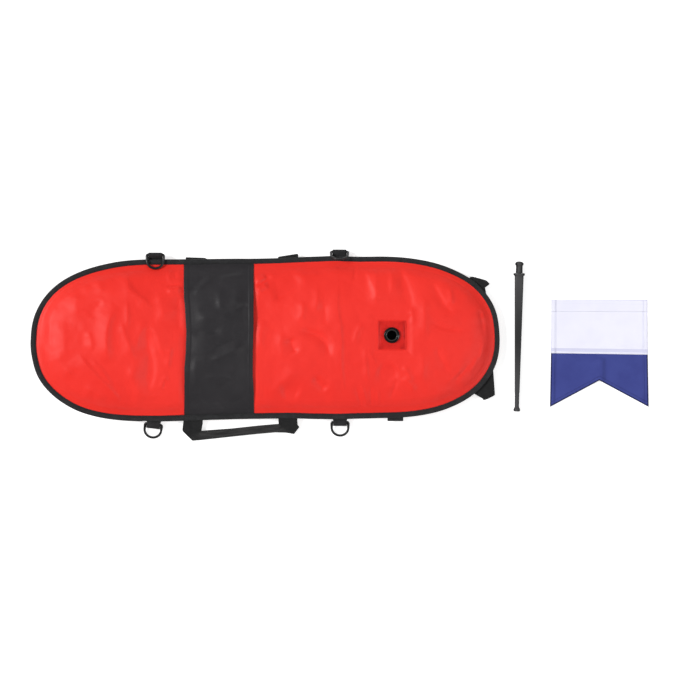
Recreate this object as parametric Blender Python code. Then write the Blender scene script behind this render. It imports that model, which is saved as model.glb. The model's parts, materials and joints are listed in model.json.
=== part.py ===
# Dive flag float, laid out flat: an inflatable float with a cover, its mast and its flag.
# Metres, +Z up. +X runs along the float to its valve end, -Y is the side of the near handle.
# The origin is on the floor, under the middle of the float.
import math

import bmesh
import bpy
from mathutils import Matrix, Vector

MM = 0.001

# Clearances
CLEARANCE = 0.3 * MM
OVERRUN = 5 * MM

# Float, plan view: two superellipse ends and a straight middle
FLOAT_LEFT_TIP = -440 * MM
FLOAT_RIGHT_TIP = 438 * MM
FLOAT_HALF_WIDTH = 151.2 * MM
LEFT_END_LENGTH = 250 * MM
RIGHT_END_LENGTH = 220 * MM
LEFT_END_ROUNDNESS = 2.5
RIGHT_END_ROUNDNESS = 2.4
LEFT_CENTRE_OFFSET = -1.75 * MM
RIGHT_CENTRE_OFFSET = 2.5 * MM

# Float, section
SEAM_HEIGHT = 14 * MM
CROWN_HEIGHT = 45 * MM
COVER_WALL = 0.8 * MM
WELD_LINE = 17 * MM
WELD_LIP = 1.5 * MM
WELD_FOOT = 1 * MM
LOW_SHOULDER = 7 * MM
HIGH_SHOULDER = 19 * MM
LOW_CROWN_RING = 60 * MM
MIDDLE_CROWN_RING = 92 * MM
HIGH_CROWN_RING = 125 * MM
BOTTOM_RING = 54 * MM
BOTTOM_FLAT_FROM = 76 * MM
CROWN_FULLNESS = 2.6
CROWN_STEEPNESS = 0.62
BOTTOM_STEEPNESS = 1.6

# Bladder
BLADDER_WALL = 0.6 * MM
BLADDER_EDGE = 24 * MM
BLADDER_TOP_ROOM = 1.9 * MM
BLADDER_BOTTOM_ROOM = 0.9 * MM
BLADDER_EDGE_RISE = 1 * MM
BLADDER_RINGS = (36 * MM, 60 * MM, 96 * MM)

# Binding
TAPE_WIDTH = 10.5 * MM
TAPE_WALL = 0.9 * MM

# Cargo band
BAND_LEFT = -150.4 * MM
BAND_RIGHT = -24.4 * MM
BAND_WALL = 0.8 * MM
BAND_HEM_WIDTH = 8.5 * MM
BAND_HEM_RISE = 0.7 * MM
BAND_SLACK = 7.5 * MM
BAND_SLACK_FULL_AT = 96 * MM

# Valve
VALVE_X = 238.2 * MM
VALVE_Y = 6.2 * MM
PATCH_LENGTH = 55 * MM
PATCH_WIDTH = 57.5 * MM
PATCH_CORNER = 4 * MM
PATCH_WALL = 1.2 * MM
SOCKET_FLANGE_RADIUS = 15 * MM
SOCKET_FLANGE_HEIGHT = 4 * MM
SOCKET_BORE_RADIUS = 8.4 * MM
SOCKET_WALL = 1.8 * MM
SOCKET_DEPTH = 30 * MM
SOCKET_LIP = 1 * MM
BASE_FLANGE_RADIUS = 23 * MM
BASE_FLANGE_WALL = 1 * MM
BASE_COLLAR_WALL = 1.8 * MM
BASE_COLLAR_LENGTH = 14 * MM
FLAP_WALL = 1.2 * MM

# Webbing
WEBBING_WALL = 1.2 * MM
RING_WEBBING_WIDTH = 25 * MM
HANDLE_WEBBING_WIDTH = 38 * MM
HANDLE_WEBBING_WALL = 1.6 * MM
ROOT_DEPTH = 14 * MM

# D-rings, and where their bars lie: along the float, out from its edge, and above the floor
RING_WIRE_RADIUS = 2.3 * MM
RING_HALF_WIDTH = 16.2 * MM
RING_SIDE_LENGTH = 10.2 * MM
RING_CORNER = 2.4 * MM
NEAR_LEFT_RING_X = -210 * MM
NEAR_LEFT_RING_SLANT = -7
NEAR_RIGHT_RING_X = 141 * MM
NEAR_BAR_REACH = 8.4 * MM
NEAR_BAR_HEIGHT = 9.4 * MM
NEAR_RING_ANGLE = -15.6
FAR_LEFT_RING_X = -206 * MM
FAR_LEFT_BAR_REACH = 7.9 * MM
FAR_LEFT_BAR_HEIGHT = 17.8 * MM
FAR_LEFT_RING_ANGLE = 171.3
FAR_RIGHT_RING_X = 140 * MM
FAR_RIGHT_BAR_REACH = 9.8 * MM
FAR_RIGHT_BAR_HEIGHT = 8.6 * MM
FAR_RIGHT_RING_ANGLE = 123

# Handles
TAB_SPACING = 179 * MM
GRIP_WIDTH = 19 * MM
GRIP_WALL = 3.4 * MM
ANCHOR_REACH = 3 * MM
NEAR_HANDLE_X = -46.2 * MM
NEAR_REACH_LEFT = 35.4 * MM
NEAR_REACH_RIGHT = 22.9 * MM
FAR_HANDLE_X = -42.5 * MM
FAR_HANDLE_SLANT = 1.4
FAR_HANDLE_REACH = 6 * MM
END_HANDLE_X = 425 * MM
END_HANDLE_Y = 6.5 * MM
END_HANDLE_SLANT = 3
FOLDED_REACH = 33 * MM

# Folded tab on the near edge
STUB_X = 245 * MM
STUB_WIDTH = 29.7 * MM
STUB_REACH = 7 * MM

# Mast
MAST_PLUG_X = 478 * MM
MAST_PLUG_Y = 145 * MM
MAST_FOOT_X = 474 * MM
HEAD_RADIUS = 8 * MM
HEAD_LENGTH = 8 * MM
NECK_RADIUS = 6.25 * MM
NECK_LENGTH = 14 * MM
COLLAR_RADIUS = 10.5 * MM
COLLAR_LENGTH = 4.5 * MM
SHAFT_TOP_RADIUS = 8 * MM
SHAFT_END_RADIUS = 3.75 * MM
SHAFT_LENGTH = 229.5 * MM
CAP_LENGTH = 26 * MM
CAP_RADIUS = 4.9 * MM
FOOT_RADIUS = 6.25 * MM
FOOT_LENGTH = 10 * MM
SPIGOT_RADIUS = 3.4 * MM
SPIGOT_LENGTH = 12 * MM

# Flag
FLAG_X = 628.5 * MM
FLAG_TOP_Y = 73.3 * MM
FLAG_SEAM_Y = -29 * MM
FLAG_TIP_Y = -128.6 * MM
FLAG_NOTCH_Y = -78.8 * MM
FLAG_TOP_WIDTH = 180.5 * MM
FLAG_SEAM_WIDTH = 182 * MM
FLAG_TIP_WIDTH = 185.5 * MM
FLAG_WALL = 0.6 * MM
FLAG_LAP = 8 * MM
SLEEVE_DEPTH = 23 * MM
SLEEVE_ROOM = 5.4 * MM

# How finely curves are divided
END_STEPS = 10
SIDE_STEPS = 16
ROUND_STEPS = 32


def material(name, colour, roughness, metallic=0.0):
    made = bpy.data.materials.new(name)
    made.use_nodes = True
    shader = made.node_tree.nodes["Principled BSDF"]
    shader.inputs["Base Color"].default_value = (*colour, 1)
    shader.inputs["Roughness"].default_value = roughness
    shader.inputs["Metallic"].default_value = metallic
    return made


def finish_of(kind):
    finishes = {
        "cover": ((0.87, 0.045, 0.034), 0.5),
        "bladder": ((0.55, 0.56, 0.6), 0.45),
        "tape": ((0.02, 0.02, 0.021), 0.7),
        "band": ((0.035, 0.033, 0.037), 0.6),
        "patch": ((0.58, 0.014, 0.011), 0.35),
        "valve": ((0.015, 0.015, 0.016), 0.3),
        "flap": ((0.03, 0.03, 0.03), 0.6),
        "webbing": ((0.018, 0.018, 0.019), 0.75),
        "ring": ((0.025, 0.025, 0.026), 0.35),
        "mast": ((0.045, 0.045, 0.048), 0.4),
        "flag_white": ((0.86, 0.87, 0.95), 0.7),
        "flag_blue": ((0.058, 0.075, 0.3), 0.7),
    }
    return finishes[kind]


def finish(obj, kind):
    obj.data.materials.append(material(obj.name + "_finish", *finish_of(kind)))
    return obj


def object_from(name, mesh, kind):
    """A bmesh made into a node of its own, with doubled points merged and its faces turned outwards."""
    bmesh.ops.remove_doubles(mesh, verts=mesh.verts, dist=CLEARANCE / 100)
    bmesh.ops.recalc_face_normals(mesh, faces=mesh.faces)
    data = bpy.data.meshes.new(name)
    mesh.to_mesh(data)
    mesh.free()
    obj = bpy.data.objects.new(name, data)
    bpy.context.scene.collection.objects.link(obj)
    return finish(obj, kind)


def smooth(obj, angle=40):
    obj.data.shade_smooth()
    obj.data.set_sharp_from_angle(angle=math.radians(angle))
    return obj


def eased(share):
    share = min(max(share, 0), 1)
    return share * share * (3 - 2 * share)


# Plan of the float

LEFT_SHOULDER = FLOAT_LEFT_TIP + LEFT_END_LENGTH
RIGHT_SHOULDER = FLOAT_RIGHT_TIP - RIGHT_END_LENGTH
SPINE_LEFT = FLOAT_LEFT_TIP + FLOAT_HALF_WIDTH
SPINE_RIGHT = FLOAT_RIGHT_TIP - FLOAT_HALF_WIDTH


def centre_at(x):
    share = eased((x - LEFT_SHOULDER) / (RIGHT_SHOULDER - LEFT_SHOULDER))
    return LEFT_CENTRE_OFFSET + (RIGHT_CENTRE_OFFSET - LEFT_CENTRE_OFFSET) * share


def half_width_at(x):
    if x < LEFT_SHOULDER:
        beyond, roundness = (LEFT_SHOULDER - x) / LEFT_END_LENGTH, LEFT_END_ROUNDNESS
    elif x > RIGHT_SHOULDER:
        beyond, roundness = (x - RIGHT_SHOULDER) / RIGHT_END_LENGTH, RIGHT_END_ROUNDNESS
    else:
        return FLOAT_HALF_WIDTH
    return FLOAT_HALF_WIDTH * max(1 - beyond**roundness, 0) ** (1 / roundness)


def edge_y(x, side):
    """Where the outline lies at x, on the far side (1) or the near side (-1)."""
    return centre_at(x) + side * half_width_at(x)


def evenly(points, count):
    """count + 1 points at even distances along a line of points."""
    lengths = [0.0]
    for a, b in zip(points, points[1:]):
        lengths.append(lengths[-1] + (b - a).length)
    found, at = [], 0
    for i in range(count + 1):
        goal = lengths[-1] * i / count
        while at < len(points) - 2 and lengths[at + 1] < goal:
            at += 1
        share = (goal - lengths[at]) / (lengths[at + 1] - lengths[at])
        found.append(points[at].lerp(points[at + 1], share))
    return found


def end_quarter(shoulder, length, roundness):
    """Half of one end's outline, above its centre line, from the shoulder to the tip."""
    fine = 200
    points = []
    for i in range(fine + 1):
        angle = math.pi / 2 * (1 - i / fine)
        x = shoulder + length * math.cos(angle) ** (2 / roundness)
        points.append(Vector((x, FLOAT_HALF_WIDTH * math.sin(angle) ** (2 / roundness))))
    return evenly(points, END_STEPS)


def float_stations():
    """Pairs of a point on the outline and the inner point its ray runs to, once round from the left tip."""
    left = end_quarter(LEFT_SHOULDER, -LEFT_END_LENGTH, LEFT_END_ROUNDNESS)
    right = end_quarter(RIGHT_SHOULDER, RIGHT_END_LENGTH, RIGHT_END_ROUNDNESS)
    straight = [Vector((LEFT_SHOULDER, FLOAT_HALF_WIDTH)), Vector((RIGHT_SHOULDER, FLOAT_HALF_WIDTH))]
    half = list(reversed(left)) + evenly(straight, SIDE_STEPS)[1:-1] + right
    stations = []
    for point, side in [(p, 1) for p in half] + [(p, -1) for p in reversed(half[1:-1])]:
        spine_x = min(max(point.x, SPINE_LEFT), SPINE_RIGHT)
        centre = centre_at(point.x)
        stations.append((Vector((point.x, centre + side * point.y)), Vector((spine_x, centre))))
    return stations


def inward(station, distance):
    """The point this far inside the outline, along a station's ray."""
    edge, spine = station
    return edge + (spine - edge) * min(distance / (spine - edge).length, 1)


# Section of the float

TOP_FLANGE_HEIGHT = SEAM_HEIGHT + CLEARANCE / 2 + COVER_WALL
BOTTOM_FLANGE_HEIGHT = SEAM_HEIGHT - CLEARANCE / 2 - COVER_WALL
TAPE_TOP = TOP_FLANGE_HEIGHT + CLEARANCE + TAPE_WALL
TAPE_BOTTOM = BOTTOM_FLANGE_HEIGHT - CLEARANCE - TAPE_WALL
COVER_EDGE = TAPE_WALL + CLEARANCE
EDGE_RINGS = (
    WELD_LINE - WELD_LIP, WELD_LINE + WELD_FOOT, WELD_LINE + LOW_SHOULDER, WELD_LINE + HIGH_SHOULDER
)
CROWN_RINGS = (LOW_CROWN_RING, MIDDLE_CROWN_RING, HIGH_CROWN_RING)


def top_height(distance, reach=FLOAT_HALF_WIDTH):
    """The outside of the top panel: a flat flange out to the weld line, then a full crown."""
    share = min(max((distance - WELD_LINE) / (reach - WELD_LINE), 0), 1)
    rise = (1 - (1 - share) ** CROWN_FULLNESS) ** CROWN_STEEPNESS
    return TOP_FLANGE_HEIGHT + (CROWN_HEIGHT - TOP_FLANGE_HEIGHT) * rise


def bottom_height(distance):
    """The outside of the bottom panel: flat where the float rests, drawn up to the flange at the edge."""
    share = min(max((distance - WELD_LINE) / (BOTTOM_FLAT_FROM - WELD_LINE), 0), 1)
    return BOTTOM_FLANGE_HEIGHT * (1 - share) ** BOTTOM_STEEPNESS


def sheet(mesh, stations, distances, height):
    """A sheet of rings inside the outline, closed along the float's spine."""
    rings = []
    for distance in distances:
        ring = []
        for edge, spine in stations:
            reach = (spine - edge).length
            gone = reach if distance is None else distance
            ring.append(mesh.verts.new((*inward((edge, spine), gone), height(gone, reach))))
        rings.append(ring)
    for outer, inner in zip(rings, rings[1:]):
        for i in range(len(outer)):
            after = (i + 1) % len(outer)
            mesh.faces.new((outer[i], outer[after], inner[after], inner[i]))
    return rings


def cover_panel(name, distances, height):
    mesh = bmesh.new()
    sheet(mesh, float_stations(), distances, height)
    obj = object_from(name, mesh, "cover")
    upward = sum(face.normal.z * face.area for face in obj.data.polygons) > 0
    wall = obj.modifiers.new("wall", "SOLIDIFY")
    wall.thickness = COVER_WALL
    wall.use_even_offset = True
    wall.offset = -1 if upward == (name == "top_cover") else 1
    return obj


def cut(obj, cutter):
    cutter.hide_render = True
    cutter.display_type = "WIRE"
    boolean = obj.modifiers.new("cut", "BOOLEAN")
    boolean.operation = "DIFFERENCE"
    boolean.object = cutter


def round_cutter(name, radius, low, high):
    mesh = bmesh.new()
    bmesh.ops.create_cone(
        mesh, cap_ends=True, segments=ROUND_STEPS, radius1=radius, radius2=radius, depth=high - low
    )
    bmesh.ops.translate(mesh, verts=mesh.verts, vec=(VALVE_X, VALVE_Y, (low + high) / 2))
    return object_from(name, mesh, "valve")


def make_covers():
    shared = [COVER_EDGE, *EDGE_RINGS]
    top = cover_panel("top_cover", [*shared, *CROWN_RINGS, None], top_height)
    smooth(top, 60)
    hole = SOCKET_BORE_RADIUS + SOCKET_WALL + 2 * CLEARANCE
    cut(top, round_cutter("cover_hole_cutter", hole, CROWN_HEIGHT - OVERRUN, CROWN_HEIGHT + OVERRUN))
    bottom = cover_panel(
        "bottom_cover",
        [*shared, BOTTOM_RING, BOTTOM_FLAT_FROM, None],
        lambda gone, reach: bottom_height(gone),
    )
    smooth(bottom, 60)


def make_bladder():
    stations = float_stations()[::2]
    mesh = bmesh.new()
    distances = [BLADDER_EDGE, *BLADDER_RINGS, None]
    seam_height = SEAM_HEIGHT + BLADDER_EDGE_RISE

    def bladder_top(gone, reach):
        if gone <= BLADDER_EDGE:
            return seam_height
        return top_height(gone, reach) - COVER_WALL - BLADDER_TOP_ROOM

    def bladder_bottom(gone, reach):
        if gone <= BLADDER_EDGE:
            return seam_height
        return bottom_height(gone) + COVER_WALL + BLADDER_BOTTOM_ROOM

    sheet(mesh, stations, distances, bladder_top)
    sheet(mesh, stations, distances, bladder_bottom)
    obj = object_from("air_bladder", mesh, "bladder")
    smooth(obj, 60)
    wall = obj.modifiers.new("wall", "SOLIDIFY")
    wall.thickness = BLADDER_WALL
    wall.offset = -1
    hole = SOCKET_BORE_RADIUS + SOCKET_WALL + BASE_COLLAR_WALL + 3 * CLEARANCE
    cut(obj, round_cutter("bladder_hole_cutter", hole, CROWN_HEIGHT - 2 * OVERRUN, CROWN_HEIGHT + OVERRUN))


def make_binding():
    """Tape folded round the flange: a U section carried once round the outline."""
    rounding = TAPE_WALL / 2
    section = [
        (TAPE_WIDTH, TAPE_TOP),
        (rounding, TAPE_TOP),
        (0, TAPE_TOP - rounding),
        (0, TAPE_BOTTOM + rounding),
        (rounding, TAPE_BOTTOM),
        (TAPE_WIDTH, TAPE_BOTTOM),
        (TAPE_WIDTH, TAPE_BOTTOM + TAPE_WALL),
        (TAPE_WALL, TAPE_BOTTOM + TAPE_WALL),
        (TAPE_WALL, TAPE_TOP - TAPE_WALL),
        (TAPE_WIDTH, TAPE_TOP - TAPE_WALL),
    ]
    mesh = bmesh.new()
    rings = []
    for station in float_stations():
        rings.append([mesh.verts.new((*inward(station, distance), height)) for distance, height in section])
    for ring, after in zip(rings, rings[1:] + rings[:1]):
        for i in range(len(section)):
            j = (i + 1) % len(section)
            mesh.faces.new((ring[i], ring[j], after[j], after[i]))
    smooth(object_from("edge_binding", mesh, "tape"))


def slab(name, rows, upper, lower, kind):
    """A closed sheet over a grid of plan points, with its own height above and below at each point."""
    mesh = bmesh.new()
    sides = []
    for height in (upper, lower):
        grid = []
        for i, row in enumerate(rows):
            grid.append([mesh.verts.new((*point, height(i, j, point))) for j, point in enumerate(row)])
        sides.append(grid)
    for grid in sides:
        for row, after in zip(grid, grid[1:]):
            for j in range(len(row) - 1):
                mesh.faces.new((row[j], row[j + 1], after[j + 1], after[j]))
    top, bottom = sides
    last = len(rows[0]) - 1
    border = [(0, j) for j in range(last)] + [(i, last) for i in range(len(rows) - 1)]
    border += [(len(rows) - 1, j) for j in range(last, 0, -1)] + [(i, 0) for i in range(len(rows) - 1, 0, -1)]
    for (i, j), (k, n) in zip(border, border[1:] + border[:1]):
        mesh.faces.new((top[i][j], top[k][n], bottom[k][n], bottom[i][j]))
    bmesh.ops.remove_doubles(mesh, verts=mesh.verts, dist=CLEARANCE / 100)
    bmesh.ops.dissolve_degenerate(mesh, edges=mesh.edges, dist=CLEARANCE / 100)
    return object_from(name, mesh, kind)


def make_band():
    """The cargo band: sewn in at both sides, slack over the crown, with a folded hem along both edges."""
    end = TAPE_WIDTH + CLEARANCE
    distances = [end, *EDGE_RINGS]
    for crown_ring in CROWN_RINGS:
        distances += [(distances[-1] + crown_ring) / 2, crown_ring]
    hem_edge = CLEARANCE
    columns = [BAND_LEFT, BAND_LEFT + BAND_HEM_WIDTH, BAND_LEFT + BAND_HEM_WIDTH + hem_edge]
    middle = (BAND_LEFT + BAND_RIGHT) / 2
    columns += [(columns[-1] + middle) / 2, middle]
    columns += [BAND_LEFT + BAND_RIGHT - x for x in reversed(columns[:-1])]
    rows, depths = [], []
    for side, order in ((1, distances), (0, [FLOAT_HALF_WIDTH]), (-1, distances[::-1])):
        for distance in order:
            rows.append([Vector((x, centre_at(x) + side * (FLOAT_HALF_WIDTH - distance))) for x in columns])
            depths.append(distance)

    def lower(i, j, point):
        share = (depths[i] - WELD_LINE) / (BAND_SLACK_FULL_AT - WELD_LINE)
        return top_height(depths[i]) + CLEARANCE + BAND_SLACK * eased(share)

    def upper(i, j, point):
        hem = BAND_HEM_RISE if j in (0, 1, len(columns) - 2, len(columns) - 1) else 0
        return lower(i, j, point) + BAND_WALL + hem

    smooth(slab("cargo_band", rows, upper, lower, "band"), 60)


# Valve

PATCH_BOTTOM = CROWN_HEIGHT + CLEARANCE
FLANGE_BOTTOM = PATCH_BOTTOM + PATCH_WALL + CLEARANCE
FLANGE_TOP = FLANGE_BOTTOM + SOCKET_FLANGE_HEIGHT
SOCKET_END = FLANGE_TOP - SOCKET_DEPTH
SOCKET_OUTER_RADIUS = SOCKET_BORE_RADIUS + SOCKET_WALL
FLAP_TOP = SOCKET_END - CLEARANCE
FLAP_PIVOT_Y = VALVE_Y + SOCKET_OUTER_RADIUS


def lathe(name, profile, kind, at=(0, 0, 0), steps=ROUND_STEPS, flutes=None):
    """A turned solid about its own Z axis. flutes(radius, height, angle) may shape the radius."""
    mesh = bmesh.new()
    rings = []
    for step in range(steps):
        angle = 2 * math.pi * step / steps
        ring = []
        for radius, height in profile:
            shaped = flutes(radius, height, angle) if flutes else radius
            ring.append(mesh.verts.new((shaped * math.cos(angle), shaped * math.sin(angle), height)))
        rings.append(ring)
    closed = profile[0][0] > 0
    spans = len(profile) if closed else len(profile) - 1
    for ring, after in zip(rings, rings[1:] + rings[:1]):
        for i in range(spans):
            j = (i + 1) % len(profile)
            mesh.faces.new((ring[i], ring[j], after[j], after[i]))
    bmesh.ops.remove_doubles(mesh, verts=mesh.verts, dist=CLEARANCE / 100)
    bmesh.ops.dissolve_degenerate(mesh, edges=mesh.edges, dist=CLEARANCE / 100)
    obj = object_from(name, mesh, kind)
    obj.location = at
    return smooth(obj)


def make_valve():
    length, width = PATCH_LENGTH / 2, PATCH_WIDTH / 2
    mesh = bmesh.new()
    corners = []
    corner_steps = 4
    for turn, (sx, sy) in enumerate(((1, 1), (-1, 1), (-1, -1), (1, -1))):
        for step in range(corner_steps + 1):
            angle = math.pi / 2 * (turn + step / corner_steps)
            x = VALVE_X + sx * (length - PATCH_CORNER) + PATCH_CORNER * math.cos(angle)
            y = VALVE_Y + sy * (width - PATCH_CORNER) + PATCH_CORNER * math.sin(angle)
            corners.append(mesh.verts.new((x, y, PATCH_BOTTOM)))
    face = mesh.faces.new(corners)
    raised = bmesh.ops.extrude_face_region(mesh, geom=[face])["geom"]
    lifted = [item for item in raised if isinstance(item, bmesh.types.BMVert)]
    bmesh.ops.translate(mesh, verts=lifted, vec=(0, 0, PATCH_WALL))
    patch = object_from("valve_patch", mesh, "patch")
    hole = SOCKET_OUTER_RADIUS + CLEARANCE
    cut(patch, round_cutter("patch_hole_cutter", hole, PATCH_BOTTOM - OVERRUN, PATCH_BOTTOM + OVERRUN))

    lip = SOCKET_LIP
    mouth = SOCKET_BORE_RADIUS + lip
    profile = [
        (SOCKET_BORE_RADIUS, SOCKET_END),
        (SOCKET_OUTER_RADIUS, SOCKET_END),
        (SOCKET_OUTER_RADIUS, FLANGE_BOTTOM),
        (SOCKET_FLANGE_RADIUS, FLANGE_BOTTOM),
        (SOCKET_FLANGE_RADIUS, FLANGE_TOP - 2 * lip),
        (SOCKET_FLANGE_RADIUS - lip / 2, FLANGE_TOP - lip / 2),
        (SOCKET_FLANGE_RADIUS - 2 * lip, FLANGE_TOP),
        (mouth + lip, FLANGE_TOP),
        (mouth, FLANGE_TOP - lip / 2),
        (mouth, FLANGE_TOP - 2 * lip),
        (SOCKET_BORE_RADIUS, FLANGE_TOP - 3 * lip),
    ]
    lathe("valve_body", profile, "valve", (VALVE_X, VALVE_Y, 0))

    inner = SOCKET_OUTER_RADIUS + CLEARANCE
    outer = inner + BASE_COLLAR_WALL
    base_bottom = CROWN_HEIGHT - COVER_WALL - BLADDER_TOP_ROOM + CLEARANCE
    base_top = base_bottom + BASE_FLANGE_WALL
    profile = [
        (inner, base_top - BASE_COLLAR_LENGTH),
        (outer, base_top - BASE_COLLAR_LENGTH),
        (outer, base_bottom),
        (BASE_FLANGE_RADIUS, base_bottom),
        (BASE_FLANGE_RADIUS, base_top),
        (inner, base_top),
    ]
    lathe("valve_base", profile, "valve", (VALVE_X, VALVE_Y, 0))

    radius = SOCKET_OUTER_RADIUS
    flap = lathe("valve_flap", [(0, -FLAP_WALL), (radius, -FLAP_WALL), (radius, 0), (0, 0)], "flap")
    for vertex in flap.data.vertices:
        vertex.co.y -= radius
    flap.location = (VALVE_X, FLAP_PIVOT_Y, FLAP_TOP)


# Webbing, drawn in the plane of (outward, up) and given its width along the edge

ROOT_TOP = TAPE_BOTTOM - CLEARANCE


def offset_line(points, distance):
    """A line beside a line of plane points, at a distance to its left, mitred at its bends."""
    moved = []
    for i, point in enumerate(points):
        before = (point - points[i - 1]).normalized() if i else None
        after = (points[i + 1] - point).normalized() if i < len(points) - 1 else None
        before, after = before or after, after or before
        normal = Vector((-before.y - after.y, before.x + after.x)).normalized()
        lean = max(normal.dot(Vector((-after.y, after.x))), 0.5)
        moved.append(point + normal * distance / lean)
    return moved


def ribbon(name, line, wall, widths, place, kind):
    """A strap whose edge follows a line of (outward, up) points. widths(i) gives its two sides."""
    outline = offset_line(line, wall / 2) + offset_line(line, -wall / 2)[::-1]
    mesh = bmesh.new()
    sides = []
    for side in (0, 1):
        ring = []
        for i, point in enumerate(outline):
            along = widths(i if i < len(line) else len(outline) - 1 - i)[side]
            ring.append(mesh.verts.new(place @ Vector((along, point.x, point.y))))
        sides.append(ring)
    count, half = len(outline), len(line)
    for i in range(count):
        j = (i + 1) % count
        mesh.faces.new((sides[0][i], sides[0][j], sides[1][j], sides[1][i]))
    for ring in sides:
        for i in range(half - 1):
            mesh.faces.new((ring[i], ring[i + 1], ring[count - 2 - i], ring[count - 1 - i]))
    return object_from(name, mesh, kind)


def tangent(start, centre, radius, side):
    """Where a line from start touches a circle, on its left (1) or right (-1) side."""
    away = start - centre
    turn = -math.acos(radius / away.length) * side
    return centre + Matrix.Rotation(turn, 2) @ (away.normalized() * radius)


def loop_line(bar):
    """The middle of a strap that runs out, round a bar at (outward, up), and back."""
    radius = RING_WIRE_RADIUS + CLEARANCE + WEBBING_WALL / 2
    upper = ROOT_TOP - WEBBING_WALL / 2
    lower = upper - WEBBING_WALL - CLEARANCE
    bend = Vector((ANCHOR_REACH / 3, upper))
    under = Vector((ANCHOR_REACH / 3, lower))
    first = tangent(bend, bar, radius, 1)
    last = tangent(under, bar, radius, -1)
    start = math.atan2(*(first - bar).yx)
    sweep = (start - math.atan2(*(last - bar).yx)) % (2 * math.pi)
    steps = 10
    line = [Vector((-ROOT_DEPTH, upper)), bend]
    for i in range(steps + 1):
        angle = start - sweep * i / steps
        line.append(bar + Vector((math.cos(angle), math.sin(angle))) * radius)
    return [*line, under, Vector((-ROOT_DEPTH, lower))]


def edge_frame(x, side, slant=0):
    """The frame of a piece at the far (1) or near (-1) edge: X along the edge, Y outward, Z up."""
    turn = Matrix.Rotation(math.radians(slant) + (0 if side > 0 else math.pi), 4, "Z")
    return Matrix.Translation((x, edge_y(x, side), 0)) @ turn


RINGS = {
    # name: (x, side, slant, bar's reach, bar's height, ring's angle above outward)
    "near_left": (
        NEAR_LEFT_RING_X, -1, NEAR_LEFT_RING_SLANT, NEAR_BAR_REACH, NEAR_BAR_HEIGHT, NEAR_RING_ANGLE
    ),
    "near_right": (NEAR_RIGHT_RING_X, -1, 0, NEAR_BAR_REACH, NEAR_BAR_HEIGHT, NEAR_RING_ANGLE),
    "far_left": (FAR_LEFT_RING_X, 1, 0, FAR_LEFT_BAR_REACH, FAR_LEFT_BAR_HEIGHT, FAR_LEFT_RING_ANGLE),
    "far_right": (FAR_RIGHT_RING_X, 1, 0, FAR_RIGHT_BAR_REACH, FAR_RIGHT_BAR_HEIGHT, FAR_RIGHT_RING_ANGLE),
}


def ring_line():
    """The middle of a D-ring's wire: its bar lies on X, its bow runs along +Y."""
    line = []
    corner_steps, bow_steps = 2, 12
    for side in (-1, 1):
        order = range(corner_steps + 1)
        for step in order if side > 0 else reversed(order):
            angle = math.pi / 2 * step / corner_steps
            x = RING_HALF_WIDTH - RING_CORNER + RING_CORNER * math.sin(angle)
            line.append((side * x, RING_CORNER - RING_CORNER * math.cos(angle)))
    for step in range(bow_steps + 1):
        angle = math.pi * step / bow_steps
        line.append((RING_HALF_WIDTH * math.cos(angle), RING_SIDE_LENGTH + RING_HALF_WIDTH * math.sin(angle)))
    return [Vector(p) for p in line]


def ring_solid(name):
    line = ring_line()
    sides = 8
    mesh = bmesh.new()
    rings = []
    for i, point in enumerate(line):
        before = (point - line[i - 1]).normalized()
        after = (line[(i + 1) % len(line)] - point).normalized()
        normal = Vector((-before.y - after.y, before.x + after.x)).normalized()
        lean = max(normal.dot(Vector((-after.y, after.x))), 0.5)
        ring = []
        for step in range(sides):
            angle = 2 * math.pi * (step + 0.5) / sides
            across = point + normal * RING_WIRE_RADIUS * math.cos(angle) / lean
            ring.append(mesh.verts.new((*across, RING_WIRE_RADIUS * math.sin(angle))))
        rings.append(ring)
    for ring, after in zip(rings, rings[1:] + rings[:1]):
        for i in range(sides):
            j = (i + 1) % sides
            mesh.faces.new((ring[i], ring[j], after[j], after[i]))
    return smooth(object_from(name, mesh, "ring"))


def make_rings():
    half = RING_WEBBING_WIDTH / 2
    for name, (x, side, slant, out, up, angle) in RINGS.items():
        place = edge_frame(x, side, slant)
        line = loop_line(Vector((out, up)))
        ribbon(name + "_tab", line, WEBBING_WALL, lambda i: (-half, half), place, "webbing")
        axis = bpy.data.objects.new(name + "_ring_axis", None)
        bpy.context.scene.collection.objects.link(axis)
        axis.matrix_world = place @ Matrix.Translation((0, out, up))
        ring = ring_solid(name + "_ring")
        ring.parent = axis
        ring.rotation_euler.x = math.radians(angle)


# Handles

ROUND_EDGE_SHARES = ((0.95, 0.31), (0.7, 0.71), (0, 1))


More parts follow.
